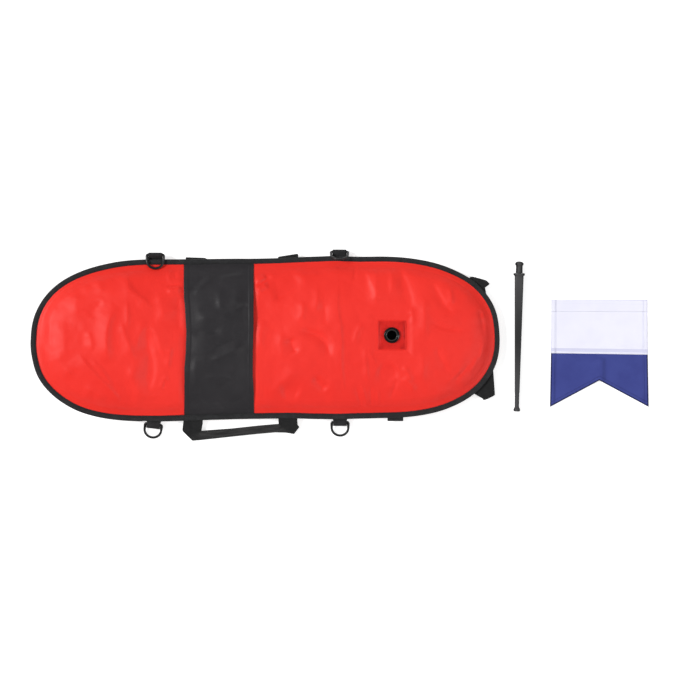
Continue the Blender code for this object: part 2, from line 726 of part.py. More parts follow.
def handle_rows(left_reach, right_reach):
    """The plan of a handle from one sewn end to the other, and the thickness of each row across it.

    X runs along the hinge and Y outward. The webbing ends in a round edge on the hinge's axis.
    """
    outer = TAB_SPACING / 2 + HANDLE_WEBBING_WIDTH / 2
    inner = TAB_SPACING / 2 - HANDLE_WEBBING_WIDTH / 2
    soft = GRIP_WIDTH / 4
    wall = HANDLE_WEBBING_WALL
    ends = []
    for side, reach in ((-1, left_reach), (1, right_reach)):
        cut_back = min(GRIP_WIDTH, reach / 2)
        grip = reach - GRIP_WIDTH
        lines = [
            *[((inner, -back * wall / 2), (outer, -back * wall / 2), high * wall) for back, high in ROUND_EDGE_SHARES],
            ((inner, grip), (outer, reach - cut_back), wall),
            ((inner, grip), (outer - cut_back, reach), wall),
            ((inner, grip), (inner + soft, reach), wall),
            ((inner - soft, grip), (inner - soft, reach), GRIP_WALL),
        ]
        ends.append([(Vector((side * a, b)), Vector((side * c, d)), thick) for (a, b), (c, d), thick in lines])
    middle_steps = 4
    left, right = ends[0], ends[1][::-1]
    pairs = list(left)
    for step in range(1, middle_steps):
        share = step / middle_steps
        pairs.append((left[-1][0].lerp(right[0][0], share), left[-1][1].lerp(right[0][1], share), GRIP_WALL))
    pairs += right
    across_shares = (0, 0.12, 0.5, 0.88, 1)
    rows = [[a.lerp(b, share) for share in across_shares] for a, b, _ in pairs]
    return rows, [thick for _, _, thick in pairs]


def handle_solid(name, left_reach, right_reach):
    """Webbing with its grip folded lengthwise, lying in its own XY plane."""
    rows, thick = handle_rows(left_reach, right_reach)
    fold_shares = (0.55, 1, 1, 1, 0.55)

    def half_wall(i, j):
        return thick[i] / 2 * (fold_shares[j] if thick[i] == GRIP_WALL else 1)

    return slab(name, rows, lambda i, j, p: half_wall(i, j), lambda i, j, p: -half_wall(i, j), "webbing")


HANDLE_ROOT_MIDDLE = ROOT_TOP - HANDLE_WEBBING_WALL / 2
HINGE_GAP = HANDLE_WEBBING_WALL / 2 + CLEARANCE
FOLDED_HINGE_HEIGHT = ROOT_TOP - HANDLE_WEBBING_WALL - CLEARANCE - HANDLE_WEBBING_WALL / 2



def rest_angle(hinge_height, reach):
    """How far a handle dips from level, in radians, to lie on the floor with its grip's outer edge."""
    return math.asin((hinge_height - GRIP_WALL / 2) / reach)


def make_handle(name, place, left_reach, right_reach, angle):
    """A handle hinged on the X axis of place, turned by angle above outward."""
    axis = bpy.data.objects.new(name + "_axis", None)
    bpy.context.scene.collection.objects.link(axis)
    axis.matrix_world = place
    handle = handle_solid(name, left_reach, right_reach)
    handle.parent = axis
    handle.rotation_euler.x = angle


def depth_inside(point):
    """How far a plan point lies inside the float's outline, negative outside it."""
    corners = [edge for edge, _ in float_stations()]
    nearest = math.inf
    for a, b in zip(corners, corners[1:] + corners[:1]):
        share = min(max((point - a).dot(b - a) / (b - a).length_squared, 0), 1)
        nearest = min(nearest, (a.lerp(b, share) - point).length)
    within = FLOAT_LEFT_TIP < point.x < FLOAT_RIGHT_TIP
    within = within and abs(point.y - centre_at(point.x)) < half_width_at(point.x)
    return nearest if within else -nearest


def sewn_point(place, along):
    """The point under the float, on a strap's side line, where its sewn end stops."""
    near, far = 0, 4 * ROOT_DEPTH
    for _ in range(30):
        middle = (near + far) / 2
        if depth_inside((place @ Vector((along, -middle, 0))).to_2d()) < ROOT_DEPTH:
            near = middle
        else:
            far = middle
    return (place @ Vector((along, -near, 0))).to_2d()


def make_anchor(name, place, middle):
    """One sewn end of a handle: flat under the binding, out to the handle's hinge."""
    rows = []
    for along in (middle - HANDLE_WEBBING_WIDTH / 2, middle + HANDLE_WEBBING_WIDTH / 2):
        rows.append([(place @ Vector((along, -HINGE_GAP, 0))).to_2d(), sewn_point(place, along)])
    bottom = ROOT_TOP - HANDLE_WEBBING_WALL
    slab(name, rows, lambda i, j, p: ROOT_TOP, lambda i, j, p: bottom, "webbing")


def near_place():
    return edge_frame(NEAR_HANDLE_X, -1) @ Matrix.Translation((0, ANCHOR_REACH + HINGE_GAP, 0))


def far_place():
    return edge_frame(FAR_HANDLE_X, 1, FAR_HANDLE_SLANT) @ Matrix.Translation((0, FAR_HANDLE_REACH, 0))


def end_place():
    turn = Matrix.Rotation(math.radians(END_HANDLE_SLANT) - math.pi / 2, 4, "Z")
    return Matrix.Translation((END_HANDLE_X, END_HANDLE_Y, 0)) @ turn


def make_handles():
    left, right = NEAR_REACH_RIGHT, NEAR_REACH_LEFT  # the near frame looks the other way
    dip = -rest_angle(HANDLE_ROOT_MIDDLE, right)
    level = Matrix.Translation((0, 0, HANDLE_ROOT_MIDDLE))
    make_handle("near_handle", near_place() @ level, left, right, dip)
    make_anchor("near_handle_left_end", near_place(), TAB_SPACING / 2)
    make_anchor("near_handle_right_end", near_place(), -TAB_SPACING / 2)
    folded = rest_angle(FOLDED_HINGE_HEIGHT, FOLDED_REACH) - math.pi
    level = Matrix.Translation((0, 0, FOLDED_HINGE_HEIGHT))
    for name, place in (("far_handle", far_place()), ("end_handle", end_place())):
        make_handle(name, place @ level, FOLDED_REACH, FOLDED_REACH, folded)
        make_anchor(name + "_left_end", place, -TAB_SPACING / 2)
        make_anchor(name + "_right_end", place, TAB_SPACING / 2)


def make_stub():
    """A plain folded tab sewn into the near edge."""
    place = edge_frame(STUB_X, -1)
    upper = ROOT_TOP - WEBBING_WALL / 2
    radius = (WEBBING_WALL + CLEARANCE) / 2
    out = STUB_REACH - radius - WEBBING_WALL / 2
    line = [Vector((-ROOT_DEPTH, upper))]
    steps = 4
    for step in range(steps + 1):
        angle = math.pi / 2 - math.pi * step / steps
        line.append(Vector((out + radius * math.cos(angle), upper - radius + radius * math.sin(angle))))
    line.append(Vector((-ROOT_DEPTH, upper - 2 * radius)))
    half = STUB_WIDTH / 2
    ribbon("edge_stub", line, WEBBING_WALL, lambda i: (-half, half), place, "webbing")


# Mast, drawn from its plug end (0) to its foot

COLLAR_AT = HEAD_LENGTH + NECK_LENGTH + CLEARANCE
SHAFT_AT = COLLAR_AT + COLLAR_LENGTH
CAP_AT = SHAFT_AT + SHAFT_LENGTH
MAST_LENGTH = CAP_AT + CAP_LENGTH


def scaled(shares, radius, start, length):
    return [(r * radius, start + z * length) for r, z in shares]


def neck_flutes(radius, height, angle):
    """Shallow flutes down the neck of the plug."""
    flutes, depth_share = 8, 0.06
    inside = HEAD_LENGTH < height < HEAD_LENGTH + NECK_LENGTH and radius > SPIGOT_RADIUS
    return radius * (1 - depth_share * (0.5 - 0.5 * math.cos(flutes * angle))) if inside else radius


def shaft_flats(radius, height, angle):
    """A rounded square section along the shaft, with its flats up, down and to both sides."""
    squareness = 2.8
    if not SHAFT_AT < height < CAP_AT:
        return radius
    across, along = abs(math.cos(angle)), abs(math.sin(angle))
    return radius * (across**squareness + along**squareness) ** (-1 / squareness)


def make_mast():
    collar_middle = COLLAR_AT + COLLAR_LENGTH / 2
    tilt = math.asin((COLLAR_RADIUS - FOOT_RADIUS) / (MAST_LENGTH - collar_middle - FOOT_LENGTH / 4))
    lean = math.asin((MAST_FOOT_X - MAST_PLUG_X) / MAST_LENGTH)
    height = COLLAR_RADIUS * math.cos(tilt) + (collar_middle + COLLAR_LENGTH / 2) * math.sin(tilt)
    axis = bpy.data.objects.new("mast_axis", None)
    bpy.context.scene.collection.objects.link(axis)
    axis.location = (MAST_PLUG_X, MAST_PLUG_Y, height)
    axis.rotation_euler = (math.pi / 2 + tilt, 0, lean)

    head_shares = ((0, 0), (0.3, 0.02), (0.6, 0.1), (0.86, 0.28), (1, 0.57), (0.96, 0.83), (0.82, 1))
    neck_shares = ((1, 0.06), (0.94, 0.3), (0.94, 0.75), (1, 0.98), (1, 1))
    plug = scaled(head_shares, HEAD_RADIUS, 0, HEAD_LENGTH)
    plug += scaled(neck_shares, NECK_RADIUS, HEAD_LENGTH, NECK_LENGTH)
    plug_end = HEAD_LENGTH + NECK_LENGTH
    spigot_end = plug_end + SPIGOT_LENGTH
    plug += [(SPIGOT_RADIUS, plug_end), (SPIGOT_RADIUS, spigot_end), (0, spigot_end)]

    bore = SPIGOT_RADIUS + CLEARANCE
    bore_end = spigot_end + CLEARANCE
    tenon = SHAFT_END_RADIUS - CLEARANCE * 2
    collar_shares = ((0.94, 0), (1, 0.14), (1, 0.86), (0.94, 1))
    shaft = [(0, bore_end), (bore, bore_end), (bore, COLLAR_AT)]
    shaft += scaled(collar_shares, COLLAR_RADIUS, COLLAR_AT, COLLAR_LENGTH)
    shaft += [(SHAFT_TOP_RADIUS, SHAFT_AT), (SHAFT_TOP_RADIUS, SHAFT_AT + CLEARANCE)]
    steps = 6
    for step in range(1, steps):
        share = step / steps
        radius = SHAFT_TOP_RADIUS + (SHAFT_END_RADIUS - SHAFT_TOP_RADIUS) * share
        shaft.append((radius, SHAFT_AT + SHAFT_LENGTH * share))
    shaft += [(SHAFT_END_RADIUS, CAP_AT - CLEARANCE), (tenon, CAP_AT - CLEARANCE)]
    shaft += [(tenon, CAP_AT + SPIGOT_LENGTH), (0, CAP_AT + SPIGOT_LENGTH)]

    socket = tenon + CLEARANCE
    socket_end = CAP_AT + SPIGOT_LENGTH + CLEARANCE
    barrel_shares = ((0.92, 0), (1, 0.08), (1, 0.75), (0.9, 1))
    bell_shares = ((0.84, 0.2), (1, 0.5), (1, 0.94), (0.93, 1), (0, 1))
    cap = [(0, socket_end), (socket, socket_end), (socket, CAP_AT)]
    cap += scaled(barrel_shares, CAP_RADIUS, CAP_AT, CAP_LENGTH - FOOT_LENGTH)
    cap += scaled(bell_shares, FOOT_RADIUS, MAST_LENGTH - FOOT_LENGTH, FOOT_LENGTH)
    sides = 24
    for name, profile, flutes in (
        ("mast_plug", plug, neck_flutes),
        ("mast_shaft", shaft, shaft_flats),
        ("mast_end_cap", cap, None),
    ):
        lathe(name, profile, "mast", steps=sides, flutes=flutes).parent = axis


# Flag, laid flat with its hoist at the far side

def flag_half_width(y):
    if y > FLAG_SEAM_Y:
        share = (FLAG_TOP_Y - y) / (FLAG_TOP_Y - FLAG_SEAM_Y)
        return (FLAG_TOP_WIDTH + (FLAG_SEAM_WIDTH - FLAG_TOP_WIDTH) * share) / 2
    share = (FLAG_SEAM_Y - y) / (FLAG_SEAM_Y - FLAG_TIP_Y)
    return (FLAG_SEAM_WIDTH + (FLAG_TIP_WIDTH - FLAG_SEAM_WIDTH) * share) / 2


def make_flag():
    floor = FLAG_WALL / 2
    lapped = floor + FLAG_WALL + CLEARANCE
    lap_end = FLAG_SEAM_Y + FLAG_LAP
    line = [(FLAG_SEAM_Y, lapped), (lap_end + FLAG_WALL, lapped), (lap_end + 4 * FLAG_WALL, floor)]
    half_sleeve = (SLEEVE_DEPTH - FLAG_WALL) / 2
    sleeve_middle = FLAG_TOP_Y - FLAG_WALL / 2 - half_sleeve
    line += [((lap_end + sleeve_middle) / 2, floor), (sleeve_middle, floor)]
    rise = SLEEVE_ROOM + FLAG_WALL
    steps = 6
    for step in range(steps):
        angle = math.pi / 2 * step / steps
        line.append((sleeve_middle + half_sleeve * math.cos(angle), floor + rise * math.sin(angle)))
    for step in range(steps + 1):
        share = step / steps
        height = rise - (rise - FLAG_WALL - CLEARANCE) * eased(share)
        line.append((sleeve_middle - half_sleeve * share, floor + height))
    line = [Vector(p) for p in line]
    place = Matrix.Translation((FLAG_X, 0, 0))

    def widths(i):
        half = flag_half_width(line[i].x)
        return -half, half

    smooth(ribbon("flag_white_panel", line, FLAG_WALL, widths, place, "flag_white"), 60)

    rows = []
    columns, depth_steps = 8, 5
    for column in range(columns + 1):
        share = 2 * column / columns - 1
        end = FLAG_NOTCH_Y + (FLAG_TIP_Y - FLAG_NOTCH_Y) * abs(share)
        row = []
        for step in range(depth_steps + 1):
            y = lap_end + (end - lap_end) * step / depth_steps
            row.append(Vector((FLAG_X + share * flag_half_width(y), y)))
        rows.append(row)
    slab("flag_blue_panel", rows, lambda i, j, p: FLAG_WALL, lambda i, j, p: 0, "flag_blue")


def clear_scene():
    for obj in list(bpy.data.objects):
        bpy.data.objects.remove(obj, do_unlink=True)


def main():
    clear_scene()
    make_covers()
    make_bladder()
    make_binding()
    make_band()
    make_valve()
    make_rings()
    make_handles()
    make_stub()
    make_mast()
    make_flag()


main()
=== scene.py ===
# The looks of the dive flag float: cover, bound edge, cargo band, webbing, rings, valve, mast and flag.
import json
import math

import bmesh
import bpy
import numpy as np
from mathutils import Matrix, Vector


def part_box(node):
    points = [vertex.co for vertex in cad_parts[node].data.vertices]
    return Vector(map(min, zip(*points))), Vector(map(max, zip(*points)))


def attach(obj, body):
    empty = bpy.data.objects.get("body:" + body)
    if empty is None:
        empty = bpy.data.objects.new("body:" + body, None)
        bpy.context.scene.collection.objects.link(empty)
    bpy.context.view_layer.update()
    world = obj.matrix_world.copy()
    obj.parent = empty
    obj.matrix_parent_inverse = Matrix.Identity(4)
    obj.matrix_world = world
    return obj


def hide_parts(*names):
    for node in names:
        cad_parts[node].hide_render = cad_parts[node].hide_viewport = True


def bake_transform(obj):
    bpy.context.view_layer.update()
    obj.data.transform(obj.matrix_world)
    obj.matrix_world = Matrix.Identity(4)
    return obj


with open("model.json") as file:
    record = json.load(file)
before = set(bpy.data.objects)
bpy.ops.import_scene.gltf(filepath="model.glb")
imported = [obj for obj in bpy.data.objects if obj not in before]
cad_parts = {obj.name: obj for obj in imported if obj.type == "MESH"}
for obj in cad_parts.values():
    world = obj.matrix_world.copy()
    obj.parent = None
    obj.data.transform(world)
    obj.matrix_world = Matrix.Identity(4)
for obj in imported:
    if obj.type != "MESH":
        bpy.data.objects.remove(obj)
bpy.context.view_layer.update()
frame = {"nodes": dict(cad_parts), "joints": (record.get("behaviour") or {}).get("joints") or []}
joints = {joint["name"]: joint for joint in frame["joints"]}
mm = 0.001

photo = {"metresPerPixel": 0.00188, "originPixel": (265, 338.5), "middlePixel": (340, 340), "side": 680}


def fromPhoto(px, py):  # where a pixel of the straight-down photograph lies on the floor
    acrossPixel, downPixel = photo["originPixel"]
    return (px - acrossPixel) * photo["metresPerPixel"], (downPixel - py) * photo["metresPerPixel"]


def ease(share):
    share = np.clip(share, 0, 1)
    return share * share * (3 - 2 * share)


def between(start, end, share):
    return start + (end - start) * share


def hump(away, width):  # 1 in the middle, falling softly to 0 on both sides
    return np.exp(-((away / width) ** 2))


def softNoise(x, y, size, seed):  # smooth random heights from -1 to 1, in lumps about that wide
    cells = 64
    grid = np.random.default_rng(seed).uniform(-1, 1, (cells, cells))
    u, v = np.asarray(x) / size, np.asarray(y) / size
    i, j = np.floor(u).astype(int), np.floor(v).astype(int)
    s, t = ease(u - i), ease(v - j)
    low = grid[i % cells, j % cells] * (1 - s) + grid[(i + 1) % cells, j % cells] * s
    high = grid[i % cells, (j + 1) % cells] * (1 - s) + grid[(i + 1) % cells, (j + 1) % cells] * s
    return low * (1 - t) + high * t


def noiseAlong(at, size, seed):  # the same along a line
    return softNoise(at, 0 * at, size, seed)


# Camera, floor and light

camera = {"height": 20.0, "sensor": 36.0}
light = {"sky": 0.4, "floorWhite": 0.6, "floorReach": 6.0, "floorHeight": -0.4 * mm}
lamps = {  # strength, softness in degrees and where it shines from
    "keyLamp": (2.32, 18, (-4.5, 0.95, 4.1)),
    "fillLamp": (1.0, 45, (4.6, -1.7, 4.0)),
}


def makeCamera():
    data = bpy.data.cameras.new("photoCamera")
    wide = photo["side"] * photo["metresPerPixel"]
    data.sensor_width = camera["sensor"]
    data.lens = camera["sensor"] * camera["height"] / wide
    data.clip_end = 2 * camera["height"]
    made = bpy.data.objects.new("photoCamera", data)
    made.location = (*fromPhoto(*photo["middlePixel"]), camera["height"])
    bpy.context.scene.collection.objects.link(made)
    bpy.context.scene.camera = made


class Socket:  # one shader socket, so that sums of sockets read as sums
    def __init__(self, finish, socket):
        self.finish, self.socket = finish, socket

    def maths(self, operation, *values):
        return self.finish.add("ShaderNodeMath", {"operation": operation}, values)

    def __add__(self, other):
        return self.maths("ADD", self, other)

    def __sub__(self, other):
        return self.maths("SUBTRACT", self, other)

    def __rsub__(self, other):
        return self.maths("SUBTRACT", other, self)

    def __mul__(self, other):
        return self.maths("MULTIPLY", self, other)

    def __truediv__(self, other):
        return self.maths("DIVIDE", self, other)

    def __pow__(self, other):
        return self.maths("POWER", self, other)

    __radd__, __rmul__ = __add__, __mul__

    def __abs__(self):
        return self.maths("ABSOLUTE", self)

    def floor(self):
        return self.maths("FLOOR", self)

    def sine(self):
        return self.maths("SINE", self)

    def atMost(self, other):
        return self.maths("MINIMUM", self, other)

    def atLeast(self, other):
        return self.maths("MAXIMUM", self, other)

    def step(self, start, end):  # rises smoothly from 0 at start to 1 at end
        settings = {"interpolation_type": "SMOOTHSTEP"}
        values = {"Value": self, "From Min": start, "From Max": end}
        return self.finish.add("ShaderNodeMapRange", settings, values)


class Finish:  # a material and the nodes that feed its shader
    def __init__(self, name, colour, roughness, **plain):
        self.material = bpy.data.materials.new(name)
        self.material.use_nodes = True
        self.tree = self.material.node_tree
        self.shader = self.tree.nodes["Principled BSDF"]
        self.feed(baseColor=colour, roughness=roughness, **plain)

    def put(self, socket, value):
        if isinstance(value, Socket):
            self.tree.links.new(value.socket, socket)
        elif isinstance(value, tuple) and socket.type == "RGBA":
            socket.default_value = (*value[:3], 1)
        else:
            socket.default_value = value

    def add(self, kind, settings, values, out=0):
        node = self.tree.nodes.new(kind)
        for key, setting in settings.items():
            setattr(node, key, setting)
        for key, value in values.items() if isinstance(values, dict) else enumerate(values):
            self.put(node.inputs[key], value)
        return Socket(self, node.outputs[out])

    def feed(self, **values):  # baseColor=..., coatWeight=... and so on, straight into the shader
        for key, value in values.items():
            words = "".join(" " + letter if letter.isupper() else letter for letter in key).title()
            self.put(self.shader.inputs[words.replace("Ior", "IOR")], value)

    def place(self, kind="Object"):
        return Socket(self, self.add("ShaderNodeTexCoord", {}, {}).socket.node.outputs[kind])

    def parts(self, vector):
        node = self.add("ShaderNodeSeparateXYZ", {}, [vector]).socket.node
        return [Socket(self, output) for output in node.outputs]

    def noise(self, vector, scale, detail=2.0, roughness=0.5):
        values = {"Vector": vector, "Scale": scale, "Detail": detail, "Roughness": roughness}
        return self.add("ShaderNodeTexNoise", {}, values)

    def mix(self, share, first, second):
        return self.add("ShaderNodeMix", {"data_type": "RGBA"}, {0: share, 6: first, 7: second}, out=2)

    def bump(self, height, distance, strength=1.0, under=None):
        values = {"Strength": strength, "Distance": distance, "Height": height}
        if under:
            values["Normal"] = under
        return self.add("ShaderNodeBump", {}, values)


def makeStage():
    world = bpy.data.worlds.new("studio")
    bpy.context.scene.world = world
    world.use_nodes = True
    tree = world.node_tree
    seen = tree.nodes.new("ShaderNodeLightPath")
    shown = tree.nodes.new("ShaderNodeMath")
    shown.operation = "MAXIMUM"
    tree.links.new(seen.outputs["Is Camera Ray"], shown.inputs[0])
    tree.links.new(seen.outputs["Is Transmission Ray"], shown.inputs[1])
    strength = tree.nodes.new("ShaderNodeMapRange")
    strength.inputs["To Min"].default_value = light["sky"]
    strength.inputs["To Max"].default_value = 1
    tree.links.new(shown.outputs[0], strength.inputs["Value"])
    background = tree.nodes["Background"]
    background.inputs["Color"].default_value = (1, 1, 1, 1)
    tree.links.new(strength.outputs[0], background.inputs["Strength"])

    for name, (power, softness, spot) in lamps.items():
        lamp = bpy.data.lights.new(name, "SUN")
        lamp.angle, lamp.energy = math.radians(softness), power
        shining = bpy.data.objects.new(name, lamp)
        shining.location = spot
        shining.rotation_euler = (-Vector(spot)).to_track_quat("-Z", "Y").to_euler()
        bpy.context.scene.collection.objects.link(shining)

    white = Finish("paperWhite", (0.8, 0.8, 0.8), 0.9, specularIorLevel=0.1, emissionColor=(1, 1, 1))
    path = white.add("ShaderNodeLightPath", {}, {}).socket.node.outputs
    showing = Socket(white, path["Is Camera Ray"]).atLeast(Socket(white, path["Is Glossy Ray"]))
    glow = white.add("ShaderNodeEmission", {}, {"Color": (1, 1, 1), "Strength": light["floorWhite"]})
    plain = Socket(white, white.shader.outputs[0])
    both = white.add("ShaderNodeAddShader", {}, [plain, glow])
    mixed = white.add("ShaderNodeMixShader", {}, [showing, plain, both])
    white.tree.links.new(mixed.socket, white.tree.nodes["Material Output"].inputs["Surface"])
    reach, height = light["floorReach"], light["floorHeight"]
    corners = [(-reach, -reach), (reach, -reach), (reach, reach), (-reach, reach)]
    mesh = bpy.data.meshes.new("floor")
    mesh.from_pydata([(x, y, height) for x, y in corners], [], [(0, 1, 2, 3)])
    mesh.materials.append(white.material)
    floor = bpy.data.objects.new("floor", mesh)
    bpy.context.scene.collection.objects.link(floor)
    bpy.context.scene.view_settings.view_transform = "Standard"


makeCamera()
makeStage()
print("camera, floor and light stand")


# Finishes

def threadPattern(across, along, width, length):  # columns of short loops, every other one shifted by half
    column = across / width
    shift = column.floor() * 0.5
    loop = abs(((along / length + shift) * math.pi).sine())
    side = abs((column * math.pi).sine())
    return (loop + 0.0001) ** 0.7 * (side + 0.0001) ** 0.6


def plainWeave(x, y, weave):
    return abs((x * (math.pi / weave)).sine()) * abs((y * (math.pi / weave)).sine())


def coatedNylon(name, colour, dark, weave=0.42 * mm, roughness=0.46, shine=0.4):
    made = Finish(name, colour, roughness, specularIorLevel=shine, sheenWeight=0.02, sheenRoughness=0.4)
    place = made.place()
    x, y, _ = made.parts(place)
    cloud = made.noise(place, 7.0, 3.0, 0.55)
    mottle = made.noise(place, 60.0, 3.0, 0.6)
    share = cloud.step(0.35, 0.7) * 0.7 + mottle.step(0.4, 0.75) * 0.3
    thread = plainWeave(x, y, weave)
    made.feed(
        baseColor=made.mix(share, colour, dark),
        roughness=roughness - 0.06 + mottle * 0.12,
        normal=made.bump(thread, 0.05 * mm, 0.5, made.bump(mottle, 0.35 * mm, 0.35)),
    )
    return made.material


def weldedPatch(name, edge, colour, dark):  # redder at its rim, mottled, with painted shade in dark lines down both sides and in its corners
    made = Finish(name, colour, 0.36, specularIorLevel=0.22)
    across, inward, _ = made.parts(made.place("UV"))  # metres right of the valve, and in from the rim
    mottle = made.noise(made.place(), 130.0, 3.0, 0.6)
    _, y, _ = made.parts(made.place())
    up = y - valve["y"]
    # Painted shade: dark lines down both sides, over the grooves near the rim, and darker corners.
    lines = (1 - abs(abs(across) - 24 * mm) / (3.4 * mm)).step(0.0, 1.0)
    lines = lines * (1 - abs(up - 4 * mm) / (19 * mm)).step(0.0, 0.7)
    corners = abs(across).step(11 * mm, 25 * mm) * abs(up).step(9 * mm, 26 * mm)
    shade = (mottle.step(0.4, 0.75) * 0.3 + lines * 0.7 + corners * 0.5).atMost(1.0)
    made.feed(
        baseColor=made.mix(inward.step(-1.2 * mm, 5 * mm), edge, made.mix(shade, colour, dark)),
        roughness=0.3 + mottle * 0.16,
        normal=made.bump(mottle, 0.7 * mm, 0.5),
    )
    return made.material


def wovenStrap(name, colour, pale, width, length, roughness=0.62, depth=0.25 * mm, held=None):
    made = Finish(name, colour, roughness, specularIorLevel=0.2, sheenWeight=0.06, sheenRoughness=0.5)
    along, across, _ = made.parts(made.place("UV"))
    thread = threadPattern(across, along, width, length)
    wear = made.noise(made.place(), 90.0, 4.0, 0.6)
    share = thread * 0.55 + wear.step(0.4, 0.7) * 0.45
    tint = made.mix(share, colour, pale)
    if held:  # paler and streaked lengthwise along the grip
        start, end, gripTint = held
        stretched = made.add("ShaderNodeCombineXYZ", {}, [along * 0.06, across, 0.0])
        streaks = made.noise(stretched, 420.0, 2.0, 0.5).step(0.35, 0.65)
        grip = along.step(start - 10 * mm, start + 10 * mm) * (1 - along.step(end - 10 * mm, end + 10 * mm))
        tint = made.mix(grip * (streaks * 0.75 + 0.25), tint, gripTint)
    made.feed(
        baseColor=tint,
        roughness=roughness - 0.08 + wear * 0.16,
        normal=made.bump(thread, depth, 0.8),
    )
    return made.material


def mouldedPlastic(name, colour, roughness, grain, shine):
    made = Finish(name, colour, roughness, specularIorLevel=shine)
    place = made.place()
    fine = made.noise(place, 900.0, 2.0, 0.5)
    broad = made.noise(place, 45.0, 3.0, 0.5)
    lighter = tuple(c * 1.3 + 0.002 for c in colour)
    made.feed(
        baseColor=made.mix(broad.step(0.35, 0.75), colour, lighter),
        roughness=roughness - 0.05 + broad * 0.1,
        normal=made.bump(fine, grain, 0.35),
    )
    return made.material


def mastPlastic(name, litFront, middle, sides, frontFrom, frontTo):
    made = Finish(name, sides, 0.5, specularIorLevel=0.12)
    facing, along, _ = made.parts(made.place("UV"))  # 1 where the mast faces up, and metres from its head
    fine = made.noise(made.place(), 900.0, 2.0, 0.5)
    broad = made.noise(made.place(), 60.0, 2.0, 0.5)
    # The face turned up is painted paler as painted light and the sides darker as painted shade; the upward
    # face is also darker along the middle of the mast's length.
    fading = (1 - abs(along - 140 * mm) / (105 * mm)).step(0.0, 1.0)
    top = made.mix((fading * 0.85 + broad.step(0.3, 0.8) * 0.15).atMost(1.0), litFront, middle)
    made.feed(
        baseColor=made.mix(facing.step(frontFrom, frontTo), sides, top),
        roughness=0.46 + broad * 0.12,
        normal=made.bump(fine, 0.06 * mm, 0.35),
    )
    return made.material


def glossValve(name, rim, inner, bore):  # nearly black, its inner lip painted paler as a painted highlight, its bore brownish
    made = Finish(name, rim, 0.14, specularIorLevel=0.3)
    x, y, _ = made.parts(made.place())
    right, up = x - valve["x"], y - valve["y"]
    away = (right * right + up * up) ** 0.5
    # Painted highlight: a paler ring on the inner lip.
    lip = away.step(8.5 * mm, 9.3 * mm) * (1 - away.step(10.6 * mm, 11.8 * mm))
    tint = made.mix(away.step(8.2 * mm, 8.7 * mm), bore, made.mix(lip, rim, inner))
    fine = made.noise(made.place(), 420.0, 2.0, 0.5)
    made.feed(baseColor=tint, roughness=0.12 + fine * 0.08, normal=made.bump(fine, 0.02 * mm, 0.3))
    return made.material


def flagCloth(name, colour, shade, mark, sideShadeLines, endShadeLines, strip=None, weave=0.5 * mm):
    made = Finish(name, colour, 0.75, specularIorLevel=0.2, sheenWeight=0.1, sheenRoughness=0.5)
    side, end, _ = made.parts(made.place("UV"))  # metres in from the side, and from the seam or the tails
    place = made.place()
    x, y, _ = made.parts(place)
    cloud = made.noise(place, 22.0, 3.0, 0.5)
    thread = plainWeave(x, y, weave)
    cloth = made.mix(cloud.step(0.3, 0.75) * 0.8 + thread * 0.2, colour, shade)
    if strip:  # a band of doubled cloth between two distances from the end
        low, high, tint = strip
        inside = (end - low).step(0.0, 0.7 * mm) * (1 - (end - high).step(0.0, 0.7 * mm))
        cloth = made.mix(inside, cloth, tint)
    # Painted shade: darker lines along the hems, the sleeve's edge and the cloth's borders.
    lines = 0.0
    for at, places in ((side, sideShadeLines), (end, endShadeLines)):
        for far, half, weight in places:
            lines = (1 - abs(at - far) / half).step(0.0, 1.0) * weight + lines
    made.feed(
        baseColor=made.mix(lines.atMost(1.0), cloth, mark),
        roughness=0.7 + thread * 0.1,
        normal=made.bump(thread, 0.08 * mm, 0.5),
    )
    return made.material


valve = {"x": 238.2 * mm, "y": 6.2 * mm}  # where the valve stands, for its own finish and the patch's too

